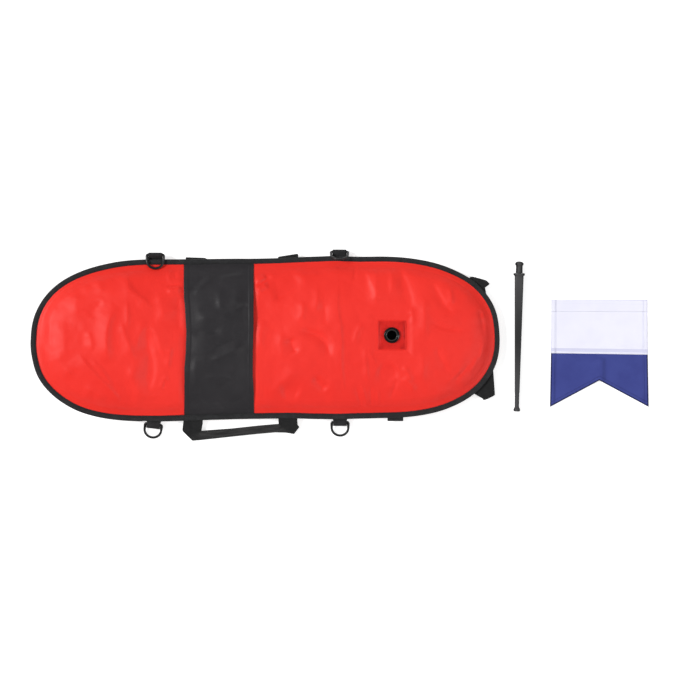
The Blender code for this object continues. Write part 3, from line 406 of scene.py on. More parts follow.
finishes = {
    "cover": coatedNylon("redCoatedNylon", (0.87, 0.027, 0.017), (0.82, 0.021, 0.013), 0.42 * mm, 0.5, 0.3),
    "coverBelow": coatedNylon("redCoatedNylonBelow", (0.8, 0.024, 0.015), (0.7, 0.018, 0.012)),
    "band": coatedNylon(
        "blackCoatedNylon", (0.019, 0.0172, 0.0195), (0.027, 0.0245, 0.0275), 0.5 * mm, 0.5, 0.24
    ),
    "tape": wovenStrap(
        "bindingTape", (0.009, 0.009, 0.0095), (0.026, 0.026, 0.028), 0.9 * mm, 1.3 * mm, 0.6, 0.15 * mm
    ),
    "webbing": wovenStrap(
        "blackWebbing", (0.008, 0.008, 0.0085), (0.024, 0.024, 0.026), 1.5 * mm, 2.4 * mm
    ),
    "legWebbing": wovenStrap(
        "blackHandleWebbing", (0.0045, 0.0045, 0.0048), (0.0135, 0.0135, 0.014), 1.5 * mm, 2.4 * mm
    ),
    "thread": mouldedPlastic("blackThread", (0.008, 0.008, 0.009), 0.6, 0.02 * mm, 0.2),
    # The darkest red tints the mottle and paints the shade of the side lines and corners.
    "patch": weldedPatch("weldedPatch", (0.85, 0.026, 0.017), (0.64, 0.014, 0.01), (0.34, 0.002, 0.001)),
    # The second colour is the inner lip's painted highlight.
    "valve": glossValve(
        "glossBlackValve", (0.002, 0.0012, 0.0012), (0.034, 0.034, 0.032), (0.016, 0.004, 0.0025)
    ),
    "ring": mouldedPlastic("blackRing", (0.009, 0.009, 0.0095), 0.32, 0.05 * mm, 0.35),
    # Mast colours: the painted-light upward face, its darker middle, and the sides in painted shade.
    "mast": mastPlastic(
        "blackMast", (0.061, 0.061, 0.063), (0.025, 0.025, 0.026), (0.008, 0.008, 0.009), 0.64, 0.76
    ),
    "mastHead": mastPlastic(
        "blackMastHead", (0.058, 0.058, 0.059), (0.04, 0.04, 0.04), (0.006, 0.006, 0.007), 0.74, 0.98
    ),
    "flap": mouldedPlastic("rubberFlap", (0.01, 0.01, 0.0105), 0.75, 0.1 * mm, 0.2),
    "bladder": coatedNylon("greyFilm", (0.5, 0.51, 0.55), (0.43, 0.44, 0.49), 1.2 * mm, 0.35),
    # For each flag cloth the third colour and the two lists of lines paint shade along its hems and borders.
    "flagWhite": flagCloth(
        "whiteFlagCloth", (0.85, 0.845, 0.95), (0.81, 0.805, 0.93), (0.58, 0.58, 0.76),
        ((0.3 * mm, 1.3 * mm, 0.8), (7.4 * mm, 1 * mm, 0.6), (9.6 * mm, 1 * mm, 0.5)),
        ((79.3 * mm, 1 * mm, 0.08), (94.5 * mm, 1 * mm, 0.1), (102.2 * mm, 1.4 * mm, 0.5)),
        (3.4 * mm, 9.6 * mm, (0.66, 0.66, 0.83)),
    ),
    "flagBlue": flagCloth(
        "blueFlagCloth", (0.046, 0.061, 0.265), (0.036, 0.047, 0.225), (0.011, 0.014, 0.075),
        ((0.0, 3 * mm, 4.0), (7.6 * mm, 1.3 * mm, 0.3), (10 * mm, 1.2 * mm, 0.2)),
        ((0.0, 3 * mm, 4.0), (7.2 * mm, 1.2 * mm, 0.3)),
    ),
    "whiteThread": mouldedPlastic("whiteThread", (0.72, 0.74, 0.86), 0.6, 0.02 * mm, 0.25),
    "blueThread": mouldedPlastic("blueThread", (0.03, 0.04, 0.19), 0.6, 0.02 * mm, 0.25),
}
print("finishes are mixed")


# Mesh helpers

def signedVolume(mesh):
    solid = bmesh.new()
    solid.from_mesh(mesh)
    volume = solid.calc_volume(signed=True)
    solid.free()
    return volume


def makeMesh(name, points, faces, finish, uv=None):
    mesh = bpy.data.meshes.new(name)
    mesh.from_pydata([tuple(p) for p in points], [], [tuple(f) for f in faces])
    if uv is not None:
        layer = mesh.uv_layers.new(name="UVMap")
        corners = np.zeros(len(mesh.loops), int)
        mesh.loops.foreach_get("vertex_index", corners)
        layer.data.foreach_set("uv", np.asarray(uv, float)[corners].ravel())
    mesh.materials.append(finishes[finish])
    if signedVolume(mesh) < 0:
        mesh.flip_normals()
    mesh.shade_smooth()
    mesh.validate()
    made = bpy.data.objects.new(name, mesh)
    bpy.context.scene.collection.objects.link(made)
    return made


def settle(piece, body, slot, *nodes):  # the piece rides on its body and stands for those nodes
    if body:
        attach(piece, body)
    if nodes:
        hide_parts(*nodes)
    return piece


def quads(rows, columns, start=0, flip=False):
    index = start + np.arange(rows * columns).reshape(rows, columns)
    a, b, c, d = index[:-1, :-1], index[1:, :-1], index[1:, 1:], index[:-1, 1:]
    order = (a, d, c, b) if flip else (a, b, c, d)
    return np.stack([side.ravel() for side in order], 1).tolist()


def border(index):  # the numbers round the rim of a grid of numbers
    return [*index[0, :-1], *index[:-1, -1], *index[-1, :0:-1], *index[:0:-1, 0]]


def gridNormals(grid):
    along, across = np.gradient(grid, axis=0), np.gradient(grid, axis=1)
    normal = np.cross(along, across)
    return normal / np.maximum(np.linalg.norm(normal, axis=2, keepdims=True), 1e-12)


def gridLengths(grid):  # how far each point lies along and across a cloth, in metres
    steps = np.linalg.norm(np.diff(grid, axis=0), axis=2).mean(1)
    along = np.concatenate([[0], np.cumsum(steps)])
    wide = np.linalg.norm(np.diff(grid, axis=1), axis=2)
    across = np.concatenate([np.zeros((len(grid), 1)), np.cumsum(wide, 1)], 1)
    return np.stack([np.broadcast_to(along[:, None], across.shape), across], 2)


def closedSheet(name, upper, lower, finish, uv=None):  # two grids back to back, joined round their rims
    rows, columns, _ = upper.shape
    count = rows * columns
    faces = quads(rows, columns) + quads(rows, columns, count, flip=True)
    rim = border(np.arange(count).reshape(rows, columns))
    faces += [(i, j, j + count, i + count) for i, j in zip(rim, rim[1:] + rim[:1])]
    return makeMesh(name, [*upper.reshape(-1, 3), *lower.reshape(-1, 3)], faces, finish, uv)


def clothStrip(name, middle, wall, finish, uv=None):  # a strip of cloth about a grid of middle points
    rows, columns, _ = middle.shape
    wall = np.broadcast_to(np.asarray(wall, float), (rows, columns)).copy()
    wall[:, [0, -1]] *= 0.55
    normal = gridNormals(middle)
    upper = middle + normal * wall[..., None] / 2
    lower = middle - normal * wall[..., None] / 2
    uv = gridLengths(middle).reshape(-1, 2) if uv is None else uv.reshape(-1, 2)
    return closedSheet(name, upper, lower, finish, [*uv, *uv])


def ringSweep(name, sections, finish, uv=None):  # a closed section carried round a closed path
    sections = np.asarray(sections)
    rows, columns, _ = sections.shape
    index = np.arange(rows * columns).reshape(rows, columns)
    faces = []
    for i in range(rows):
        k = (i + 1) % rows
        for j in range(columns):
            n = (j + 1) % columns
            faces.append((index[i, j], index[i, n], index[k, n], index[k, j]))
    if uv is None:
        uv = gridLengths(sections).reshape(-1, 2)
    return makeMesh(name, sections.reshape(-1, 3), faces, finish, uv)


def turned(name, profile, finish, place, shape=None):  # a turned piece about its own Z axis
    steps, rows = 96, []
    for step in range(steps):
        angle = 2 * math.pi * step / steps
        rows.append([
            place @ Vector((math.cos(angle) * r, math.sin(angle) * r, z))
            for r, z in ((shape(r, z, angle) if shape else r, z) for r, z in profile)
        ])
    points, faces, numbers, uv = [], [], [], []
    for i, row in enumerate(rows):
        numbers.append([])
        facing = math.sin(2 * math.pi * i / steps)
        for j, point in enumerate(row):
            if profile[j][0] == 0 and i:
                numbers[i].append(numbers[0][j])
            else:
                numbers[i].append(len(points))
                points.append(point)
                uv.append((facing, profile[j][1]))
    spans = len(profile) if profile[0][0] else len(profile) - 1
    for i in range(steps):
        here, after = numbers[i], numbers[(i + 1) % steps]
        for j in range(spans):
            k = (j + 1) % len(profile)
            face = [here[j], after[j], after[k], here[k]]
            face = [n for at, n in enumerate(face) if n not in face[:at]]
            if len(face) > 2:
                faces.append(face)
    made = makeMesh(name, points, faces, finish, uv)
    made.data.set_sharp_from_angle(angle=math.radians(38))
    return made


def rounded(profile, radius, steps=3):  # a profile with its corners rounded
    made = []
    count = len(profile)
    for i, corner in enumerate(profile):
        before, after = Vector(profile[i - 1]), Vector(profile[(i + 1) % count])
        corner = Vector(corner)
        if corner.x == 0 or (profile[0][0] == 0 and i in (0, count - 1)):
            made.append(tuple(corner))
            continue
        back, on = before - corner, after - corner
        room = min(radius, back.length / 2.2, on.length / 2.2)
        start, end = corner + back.normalized() * room, corner + on.normalized() * room
        for step in range(steps + 1):
            share = step / steps
            made.append(tuple(start.lerp(corner, share).lerp(corner.lerp(end, share), share)))
    return made


# Stitches: one small thread lying at even steps along a line

def stitchTree():
    tree = bpy.data.node_groups.new("stitchRow", "GeometryNodeTree")
    tree.interface.new_socket("Line", in_out="INPUT", socket_type="NodeSocketGeometry")
    for title in ("Pitch", "Length", "Thickness"):
        tree.interface.new_socket(title, in_out="INPUT", socket_type="NodeSocketFloat")
    tree.interface.new_socket("Thread", in_out="INPUT", socket_type="NodeSocketMaterial")
    tree.interface.new_socket("Stitches", in_out="OUTPUT", socket_type="NodeSocketGeometry")

    def add(kind, links=None, **settings):
        node = tree.nodes.new(kind)
        for key, value in settings.items():
            setattr(node, key, value)
        for key, source in (links or {}).items():
            if isinstance(source, bpy.types.NodeSocket):
                tree.links.new(source, node.inputs[key])
            else:
                node.inputs[key].default_value = source
        return node

    given = add("NodeGroupInput").outputs
    curve = add("GeometryNodeMeshToCurve", {"Mesh": given["Line"]}).outputs["Curve"]
    spacing = {"Curve": curve, "Length": given["Pitch"]}
    evenly = add("GeometryNodeResampleCurve", spacing, mode="LENGTH").outputs["Curve"]
    tangent = add("GeometryNodeInputTangent").outputs["Tangent"]
    turn = add("FunctionNodeAlignEulerToVector", {"Vector": tangent}, axis="X").outputs["Rotation"]
    ball = add("GeometryNodeMeshUVSphere", {"Segments": 6, "Rings": 4, "Radius": 0.5}).outputs["Mesh"]
    sides = {"X": given["Length"], "Y": given["Thickness"], "Z": given["Thickness"]}
    size = add("ShaderNodeCombineXYZ", sides).outputs[0]
    placed = {"Points": evenly, "Instance": ball, "Rotation": turn, "Scale": size}
    stitches = add("GeometryNodeInstanceOnPoints", placed).outputs["Instances"]
    real = add("GeometryNodeRealizeInstances", {"Geometry": stitches}).outputs["Geometry"]
    dyed = {"Geometry": real, "Material": given["Thread"]}
    threaded = add("GeometryNodeSetMaterial", dyed).outputs["Geometry"]
    add("NodeGroupOutput", {"Stitches": threaded})
    return tree


stitchRow = stitchTree()


def sewn(name, lines, finish, pitch, length, thickness):
    points, edges = [], []
    for line in lines:
        start = len(points)
        points += [tuple(p) for p in line]
        edges += [(i, i + 1) for i in range(start, len(points) - 1)]
    mesh = bpy.data.meshes.new(name)
    mesh.from_pydata(points, edges, [])
    carrier = bpy.data.objects.new(name + "Line", mesh)
    bpy.context.scene.collection.objects.link(carrier)
    modifier = carrier.modifiers.new("stitches", "NODES")
    modifier.node_group = stitchRow
    values = {"Pitch": pitch, "Length": length, "Thickness": thickness, "Thread": finishes[finish]}
    for item in stitchRow.interface.items_tree:
        if item.name in values:
            modifier[item.identifier] = values[item.name]
    graph = bpy.context.evaluated_depsgraph_get()
    made = bpy.data.objects.new(name, bpy.data.meshes.new_from_object(carrier.evaluated_get(graph)))
    bpy.context.scene.collection.objects.link(made)
    made.data.shade_smooth()
    bpy.data.objects.remove(carrier)
    return made


# The float's plan and section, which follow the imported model

plan = {
    "leftTip": -440 * mm, "rightTip": 438 * mm, "halfWidth": 151.2 * mm,
    "leftLength": 250 * mm, "rightLength": 220 * mm,
    "leftRoundness": 2.5, "rightRoundness": 2.4,
    "leftOffset": -1.75 * mm, "rightOffset": 2.5 * mm,
}
section = {  # heights, distances in from the edge, and how the cloth rises over the bladder
    "topFlange": 14.95 * mm, "bottomFlange": 13.05 * mm, "crown": 45 * mm, "wall": 0.8 * mm,
    "weld": 17 * mm, "fullness": 2.6, "steepness": 0.62,
    "bottomFlat": 76 * mm, "bottomSteepness": 1.6, "edge": 1.2 * mm,
    "span": (11.5 * mm, 33 * mm),  # between these the cloth spans straight across the weld line
    "weldLines": ((15.5 * mm, 0.5 * mm), (20.5 * mm, 0.45 * mm)),  # where lines are pressed in, and how deep
    "lineWidth": 1.3 * mm, "weldRidge": (14.2 * mm, 0.35 * mm),
}
leftShoulder = plan["leftTip"] + plan["leftLength"]
rightShoulder = plan["rightTip"] - plan["rightLength"]
spineLeft = plan["leftTip"] + plan["halfWidth"]
spineRight = plan["rightTip"] - plan["halfWidth"]


def centreAt(x):
    share = ease((x - leftShoulder) / (rightShoulder - leftShoulder))
    return between(plan["leftOffset"], plan["rightOffset"], share)


def halfWidthAt(x):
    left = np.clip((leftShoulder - x) / plan["leftLength"], 0, 1) ** plan["leftRoundness"]
    right = np.clip((x - rightShoulder) / plan["rightLength"], 0, 1) ** plan["rightRoundness"]
    left, right = (1 - left) ** (1 / plan["leftRoundness"]), (1 - right) ** (1 / plan["rightRoundness"])
    return plan["halfWidth"] * left * right


edgeDrift = [  # lengths along the even outline, and how far outside it the sewn edge lies, in millimetres
    (0, 0.5), (43, -2.2), (87, -4.3), (130, -3.2), (174, -2.6), (217, -1.8), (261, -0.7), (290, -0.4),
    (348, -1.1), (435, -1.1), (522, -1.2), (560, -0.4), (609, 1.5), (652, 2.4), (675, 1.6), (700, 0.1),
    (739, 0.3), (783, -0.5), (826, -1.5), (892, -2.3), (920, -1.0), (957, -0.2), (979, 1.3), (1044, 2.7),
    (1087, 3.2), (1115, 1.6), (1153, 0.9), (1180, 0.4), (1305, 0.5), (1348, 0.7), (1425, 2.3),
    (1479, 1.3), (1506, -0.3), (1609, -0.2), (1674, 0.9), (1740, 2.4), (1805, 3.4), (1870, 5.6),
    (1914, 6.0), (1957, 3.9), (2001, 2.1), (2044, 0.1), (2087.6, 0.5),
]


def edgeWave(s):  # how far the edge stands out, with its small ripples
    at, drift = np.array(edgeDrift).T * mm
    rounds = np.linspace(-15 * mm, 15 * mm, 7)
    smooth = sum(np.interp((s + shift) % at[-1], at, drift) for shift in rounds) / len(rounds)
    return smooth + 0.22 * mm * noiseAlong(s, 31 * mm, 3)


def outlinePoints(count):  # even steps once round the edge, from the left tip over the far side
    quarter = np.linspace(0, math.pi / 2, 600)

    def end(shoulder, length, roundness):
        x = shoulder + length * np.cos(quarter) ** (2 / roundness)
        return np.stack([x, plan["halfWidth"] * np.sin(quarter) ** (2 / roundness)], 1)

    left = end(leftShoulder, -plan["leftLength"], plan["leftRoundness"])
    right = end(rightShoulder, plan["rightLength"], plan["rightRoundness"])[::-1]
    half = np.concatenate([left, right])
    whole = np.concatenate([half, half[-2:0:-1] * (1, -1)])
    whole[:, 1] += centreAt(whole[:, 0])
    whole = np.concatenate([whole, whole[:1]])
    steps = np.linalg.norm(np.diff(whole, axis=0), axis=1)
    lengths = np.concatenate([[0], np.cumsum(steps)])
    goals = np.linspace(0, lengths[-1], count, endpoint=False)
    even = np.stack([np.interp(goals, lengths, whole[:, k]) for k in (0, 1)], 1)
    return even, goals, lengths[-1]


outline, outlineAt, outlineLength = outlinePoints(1240)
outlineOut = np.roll(outline, -1, 0) - np.roll(outline, 1, 0)
outlineOut = np.stack([-outlineOut[:, 1], outlineOut[:, 0]], 1)
outlineOut /= np.linalg.norm(outlineOut, axis=1, keepdims=True)
wave = edgeWave(outlineAt)
outline = outline + outlineOut * wave[:, None]


def depthAndReach(x, y):  # how far in from the edge along the ray to the spine, and the ray's length
    spineX = np.clip(x, spineLeft, spineRight)
    dx, dy = x - spineX, y - centreAt(x)
    gone = np.hypot(dx, dy)
    shoulder = np.where(x < 0, spineLeft - leftShoulder, spineRight - rightShoulder)
    length = np.where(x < 0, plan["leftLength"], plan["rightLength"])
    roundness = np.where(x < 0, plan["leftRoundness"], plan["rightRoundness"])
    ux, uy = dx / np.maximum(gone, 1e-9), dy / np.maximum(gone, 1e-9)
    low, high = np.zeros_like(x), np.full_like(x, 2 * plan["halfWidth"])
    for _ in range(26):
        middle = (low + high) / 2
        off = (np.abs(shoulder + ux * middle) / length) ** roundness
        inside = off + (np.abs(uy) * middle / plan["halfWidth"]) ** roundness < 1
        low, high = np.where(inside, middle, low), np.where(inside, high, middle)
    radial = (x < spineLeft) | (x > spineRight)
    reach = np.where(radial & (gone > 1e-6), low, halfWidthAt(x))
    return np.maximum(reach - gone, 0), reach


def topHeight(depth, reach):
    def crowned(deep):
        share = np.clip((deep - section["weld"]) / (reach - section["weld"]), 0, 1)
        rise = (1 - (1 - share) ** section["fullness"]) ** section["steepness"]
        return between(section["topFlange"], section["crown"], rise)

    low, high = section["span"]
    share = np.clip((depth - low) / (high - low), 0, 1)
    ramp = between(section["topFlange"], crowned(high + 0 * depth), share)
    height = np.where(depth < high, ramp, crowned(depth))
    for line, press in section["weldLines"]:
        height = height - press * hump(depth - line, section["lineWidth"])
    return height


def bottomHeight(depth):
    share = np.clip((depth - section["weld"]) / (section["bottomFlat"] - section["weld"]), 0, 1)
    return section["bottomFlange"] * (1 - share) ** section["bottomSteepness"]


# Wrinkles of the cover. Each is (height, soft width on the photograph's left, soft width on its right, path
# down the photograph). The widths are in millimetres, and a height below zero is a valley.

coverWrinkles = [
    (2.4, 6, 6, [(255, 291), (261.5, 288), (269, 283.5)]),
    (2.2, 6, 6, [(255, 283), (261, 280), (267, 275.5)]),
    (2.2, 5, 5, [(166, 290.8), (175, 289.8), (184, 287.8)]),
    (2.6, 56, 44, [(122, 262), (127, 300), (129, 345), (124, 392)]),
    (1.7, 44, 50, [(300, 270), (306, 340), (300, 400)]),
    (1.7, 28, 14, [(64.5, 319), (63.5, 334), (64.5, 349), (69, 362)]),
    (2.7, 17, 4.2, [(76, 350), (84, 361), (95, 374), (104, 383), (112, 390), (119.5, 400), (120.5, 410)]),
    (1.7, 8, 4, [(88, 358), (97, 365), (103, 371), (108.5, 380), (115, 389)]),
    (2.6, 17, 9, [(119, 303), (112, 314), (108, 326), (106.8, 339), (107.4, 352), (109, 366)]),
    (2.0, 12, 6, [(127, 268), (127.5, 287), (136, 294), (146, 302), (154, 313)]),
    (1.3, 6, 4, [(127, 300), (128.5, 315), (127.5, 330)]),
    (1.4, 9, 7, [(120, 318), (125, 334), (131, 350), (136, 362)]),
    (-2.9, 15, 8, [(147, 327), (147.5, 340), (151, 355), (152, 372), (147, 396)]),
    (1.9, 5, 26, [(148, 324), (156, 331), (160, 344), (166, 359)]),
    (1.3, 11, 7, [(150, 324), (143, 328), (138, 338), (137, 352)]),
    (1.9, 10, 18, [(130, 362), (133, 377), (138, 391), (142, 405)]),
    (1.7, 9, 5, [(171, 345), (170, 357), (167, 370)]), (1.3, 5, 4, [(168, 374), (164, 382), (160, 391)]),
    (-1.2, 3, 3, [(164, 378), (166, 384), (162, 389)]),
    (-2.1, 2.8, 2.4, [(166, 286.6), (174, 285.5), (184.5, 283.6)]),
    (1.2, 2.6, 4, [(166, 282.5), (174, 281.3), (184, 279)]),
    (1.2, 4, 4, [(172, 268), (168, 276), (171, 282)]), (-1.1, 3, 4, [(177, 266), (174, 274), (178, 280)]),
    (1.6, 12, 20, [(158, 292), (162, 306), (166, 322)]),
    (-1.3, 10, 8, [(178, 292), (180, 312), (179, 336)]),
    (1.2, 11, 9, [(92, 270), (100, 282), (103, 296)]), (-1.2, 9, 9, [(88, 318), (95, 310), (104, 300)]),
    (0.9, 14, 10, [(78, 292), (76, 304), (78, 316)]), (0.9, 11, 8, [(56, 350), (62, 366), (74, 380)]),
    (1.1, 10, 8, [(84, 386), (96, 393), (108, 402)]), (1.2, 8, 6, [(88, 330), (92, 341), (92, 352)]),
    (1.0, 5, 4, [(52, 318), (50, 334), (52, 352)]), (-1.0, 5, 5, [(46, 312), (43, 330), (44, 348)]),
    (-2.4, 5.5, 5, [(255, 287), (260, 284), (266, 280.4), (272, 275.5)]),
    (-2.2, 9, 24, [(271, 299), (287, 292), (304, 277)]),
    (1.9, 24, 3.2, [
        (336.8, 270), (338, 288), (336.8, 306), (340.6, 326),
        (341.8, 344), (341, 362), (343.8, 386), (345, 400),
    ]),
    (-1.8, 2.6, 2.6, [(355.6, 263), (355, 271), (354, 281)]),
    (1.4, 6, 9, [(366.5, 266), (370.5, 279), (375, 294)]),
    (2.0, 8, 24, [(374.5, 266), (376.5, 284), (375.5, 307)]),
    (1.5, 6, 22, [(391, 264), (392, 282), (391.5, 300)]),
    (-2.1, 13, 8, [(399, 264), (404, 283), (409, 299), (412, 314)]),
    (1.2, 4.5, 4, [(411.6, 306), (412, 316), (412.4, 327)]),
    (1.4, 4.5, 8, [(363, 322), (357, 331), (353.5, 345)]),
    (1.4, 6, 3, [(365, 344), (366, 361), (368, 383)]),
    (-2.4, 9, 8, [(296, 330.5), (309, 331.5), (320, 336), (328, 346), (331, 360)]),
    (-2.2, 8, 8, [(289, 337), (292, 345), (297, 354)]), (1.2, 9, 9, [(282, 330), (280, 345), (284, 360)]),
    (-1.8, 13, 12, [(280, 393), (290, 390), (301, 394)]),
    (-2.1, 8, 7, [(313, 376), (320, 384), (327, 391)]),
    (1.4, 12, 12, [(302, 366), (284, 381), (264, 398)]),
    (1.4, 9, 12, [(262, 318), (260, 336), (264, 352)]),
    (-2.6, 13, 13, [(376, 369), (388, 374), (399, 369)]),
    (1.7, 5, 5, [(402, 365), (408, 373), (413, 382)]), (1.4, 4, 4, [(368, 350), (372, 358), (377, 365)]),
    (-1.3, 4, 4, [(398, 378), (394, 388), (390, 399)]),
    (-1.5, 4, 3, [(356, 386), (359, 397), (362, 408)]), (1.4, 3, 3, [(361, 384), (365, 396), (367, 408)]),
    (-1.4, 3, 3, [(371, 386), (371, 398), (372, 408)]), (1.2, 3, 3, [(377, 388), (378, 399), (379, 408)]),
    (1.4, 6, 6, [(402, 376), (410, 384), (416, 392)]),
    (-2.0, 11, 7, [(431, 280), (437, 294), (444, 306), (456, 315)]),
    (1.6, 6, 5, [(449.5, 286), (451, 296), (452, 306)]),
    (-1.5, 5, 6, [(429, 321), (442, 327.5), (464, 330.5)]),
    (1.5, 12, 9, [(424, 294), (424, 318), (427, 340)]),
    (1.3, 12, 9, [(420, 350), (424, 366), (421, 384)]),
    (-1.2, 8, 8, [(436, 344), (440, 360), (450, 374)]), (1.3, 5, 4, [(478, 354), (475, 364), (468, 374)]),
    (1.2, 4, 4, [(484, 340), (482, 352), (478, 362)]), (-1.2, 4, 4, [(470, 362), (463, 372), (454, 380)]),
    (1.1, 4, 4, [(463, 366), (455, 376), (445, 384)]), (-1.2, 5, 5, [(478, 306), (482, 322), (483, 338)]),
    (1.2, 8, 7, [(316, 284), (318, 300), (314, 314)]), (1.2, 9, 8, [(300, 300), (304, 312), (298, 322)]),
    (-1.2, 8, 8, [(322, 302), (326, 314), (324, 326)]),
]


def chaikin(path, rounds=2):  # a path with its corners cut smooth
    path = np.asarray(path, float)
    for _ in range(rounds):
        first, second = path[:-1] * 0.75 + path[1:] * 0.25, path[:-1] * 0.25 + path[1:] * 0.75
        inner = np.stack([first, second], 1).reshape(-1, path.shape[1])
        path = np.concatenate([path[:1], inner[1:-1], path[-1:]])
    return path


wrinkleRise = 1.9 * mm  # for a height of 1 in the lists


def wrinkleHeight(x, y, wrinkles):
    height = np.zeros_like(x)
    for rise, left, right, path in wrinkles:
        line = chaikin([fromPhoto(*p) for p in path])
        room = 3.2 * max(left, right) * mm
        near = (x > line[:, 0].min() - room) & (x < line[:, 0].max() + room)
        near &= (y > line[:, 1].min() - room) & (y < line[:, 1].max() + room)
        px, py = x[near], y[near]
        best, side, at = np.full(px.shape, 9.0), np.zeros(px.shape), np.zeros(px.shape)
        lengths = np.concatenate([[0], np.cumsum(np.linalg.norm(np.diff(line, axis=0), axis=1))])
        for k in range(len(line) - 1):
            step = line[k + 1] - line[k]
            dx, dy = px - line[k, 0], py - line[k, 1]
            share = np.clip((dx * step[0] + dy * step[1]) / (step @ step), 0, 1)
            dx, dy = dx - step[0] * share, dy - step[1] * share
            away = np.hypot(dx, dy)
            closer = away < best
            best = np.where(closer, away, best)
            side = np.where(closer, step[0] * dy - step[1] * dx, side)
            at = np.where(closer, lengths[k] + share * np.linalg.norm(step), at)
        whole = lengths[-1]
        fade = ease(np.minimum(at, whole - at) / (0.3 * whole))
        width = np.where(side > 0, right, left) * mm
        rise = rise * wrinkleRise * min(1, (min(left, right) / 8) ** 0.7)  # narrow ones stand less high
        height[near] += rise * fade * np.exp(-((best / width) ** 1.6))
    return height


def coverGrid(along, across):  # a grid over the float's plan, between four corners of the outline
    cornerX = 388 * mm
    total = len(outline)

    def corner(x, side):
        wanted = np.hypot(outline[:, 0] - x, (np.sign(outline[:, 1]) - side) * 0.5)
        return int(wanted.argmin())

    def edge(start, end, count):
        at = start + np.linspace(0, (end - start) % total, count + 1)
        low = np.floor(at).astype(int)
        share = (at - low)[:, None]
        return outline[low % total] * (1 - share) + outline[(low + 1) % total] * share

    corners = [corner(side * cornerX, end) for side, end in ((-1, 1), (1, 1), (1, -1), (-1, -1))]

    far, right = edge(corners[0], corners[1], along), edge(corners[1], corners[2], across)
    near, left = edge(corners[2], corners[3], along)[::-1], edge(corners[3], corners[0], across)[::-1]
    u = np.linspace(0, 1, along + 1)[:, None, None]
    v = np.linspace(0, 1, across + 1)[None, :, None]
    ruled = far[:, None] * (1 - v) + near[:, None] * v + left[None] * (1 - u) + right[None] * u
    blend = far[0] * (1 - u) * (1 - v) + far[-1] * u * (1 - v) + near[0] * (1 - u) * v + near[-1] * u * v
    return ruled - blend


def nearestEdge(x, y):  # the plain distance to the outline, and the length along it there
    flat = np.stack([x.ravel(), y.ravel()], 1)
    away, at = np.zeros(len(flat)), np.zeros(len(flat), int)
    batch = 4000
    for start in range(0, len(flat), batch):
        part = slice(start, start + batch)
        gap = ((flat[part][:, None] - outline[None]) ** 2).sum(2)
        at[part] = gap.argmin(1)
        away[part] = np.sqrt(gap.min(1))
    return away.reshape(x.shape), outlineAt[at].reshape(x.shape)


band = {
    "left": -150.4 * mm, "right": -24.4 * mm, "wall": 0.8 * mm,
    "slack": 7.5 * mm, "edgeSlack": 3 * mm, "slackFullAt": 96 * mm,
    "hemWidth": 8.5 * mm, "hemRise": 0.45 * mm, "hemColumns": 7, "gap": 0.3 * mm, "edgeGap": 0.12 * mm,
    "end": 4.2 * mm,  # how far inside the sewn edge the band's cloth ends, under the tape
}
socket = {
    "bore": 8.4 * mm, "wall": 1.8 * mm, "end": 20.8 * mm, "lip": 1 * mm,
    "flange": 15 * mm, "flangeBottom": 46.8 * mm, "flangeTop": 50.8 * mm,
}


def coverTopHeight(x, y):
    depth, reach = depthAndReach(x, y)
    away, at = nearestEdge(x, y)
    height = topHeight(depth + np.maximum(edgeWave(at), 0), reach)
    free = ease((away - 15 * mm) / (14 * mm))
    crumple = 0.9 * mm * softNoise(x, y, 46 * mm, 11) + 0.5 * mm * softNoise(x * 1.3, y, 21 * mm, 12)
    crumple += 0.2 * mm * softNoise(x, y, 9 * mm, 13)
    pucker = noiseAlong(at, 13 * mm, 14) * 0.7 + noiseAlong(at, 29 * mm, 15)
    pucker = pucker * 0.6 * mm * hump(away - 27 * mm, 11 * mm)
    folds = wrinkleHeight(x, y, coverWrinkles)
    fromValve = np.maximum(np.abs(x - valve["x"]), np.abs(y - valve["y"]))
    flat = ease((fromValve - 29 * mm) / (12 * mm))
    beside = ease((band["left"] - 3 * mm - x) / (10 * mm)) + ease((x - band["right"] - 3 * mm) / (10 * mm))
    beside = 1 - (1 - beside) * (1 - ease((away - 70 * mm) / (30 * mm)) * 0.5)
    ridgeAt, ridge = section["weldRidge"]
    lowest = 1.4 * mm  # valleys deeper than this flatten out
    lift = crumple + pucker + folds + lowest
    lift = np.where(lift > 0, lift, lowest * np.tanh(lift / lowest))
    return height + lift * free * flat * beside + ridge * hump(away - ridgeAt, section["lineWidth"])


def coverPlan(along, across):  # the cover's plan grid, drawn in from the sewn edge, and lengths round it
    grid = coverGrid(along, across)
    x, y = grid[..., 0], grid[..., 1]
    away, at = nearestEdge(x, y)
    number = np.round(at / outlineLength * len(outline)).astype(int) % len(outline)
    pull = np.clip(1 - away / (30 * mm), 0, 1) * section["edge"]
    return x - outlineOut[number, 0] * pull, y - outlineOut[number, 1] * pull, away, at


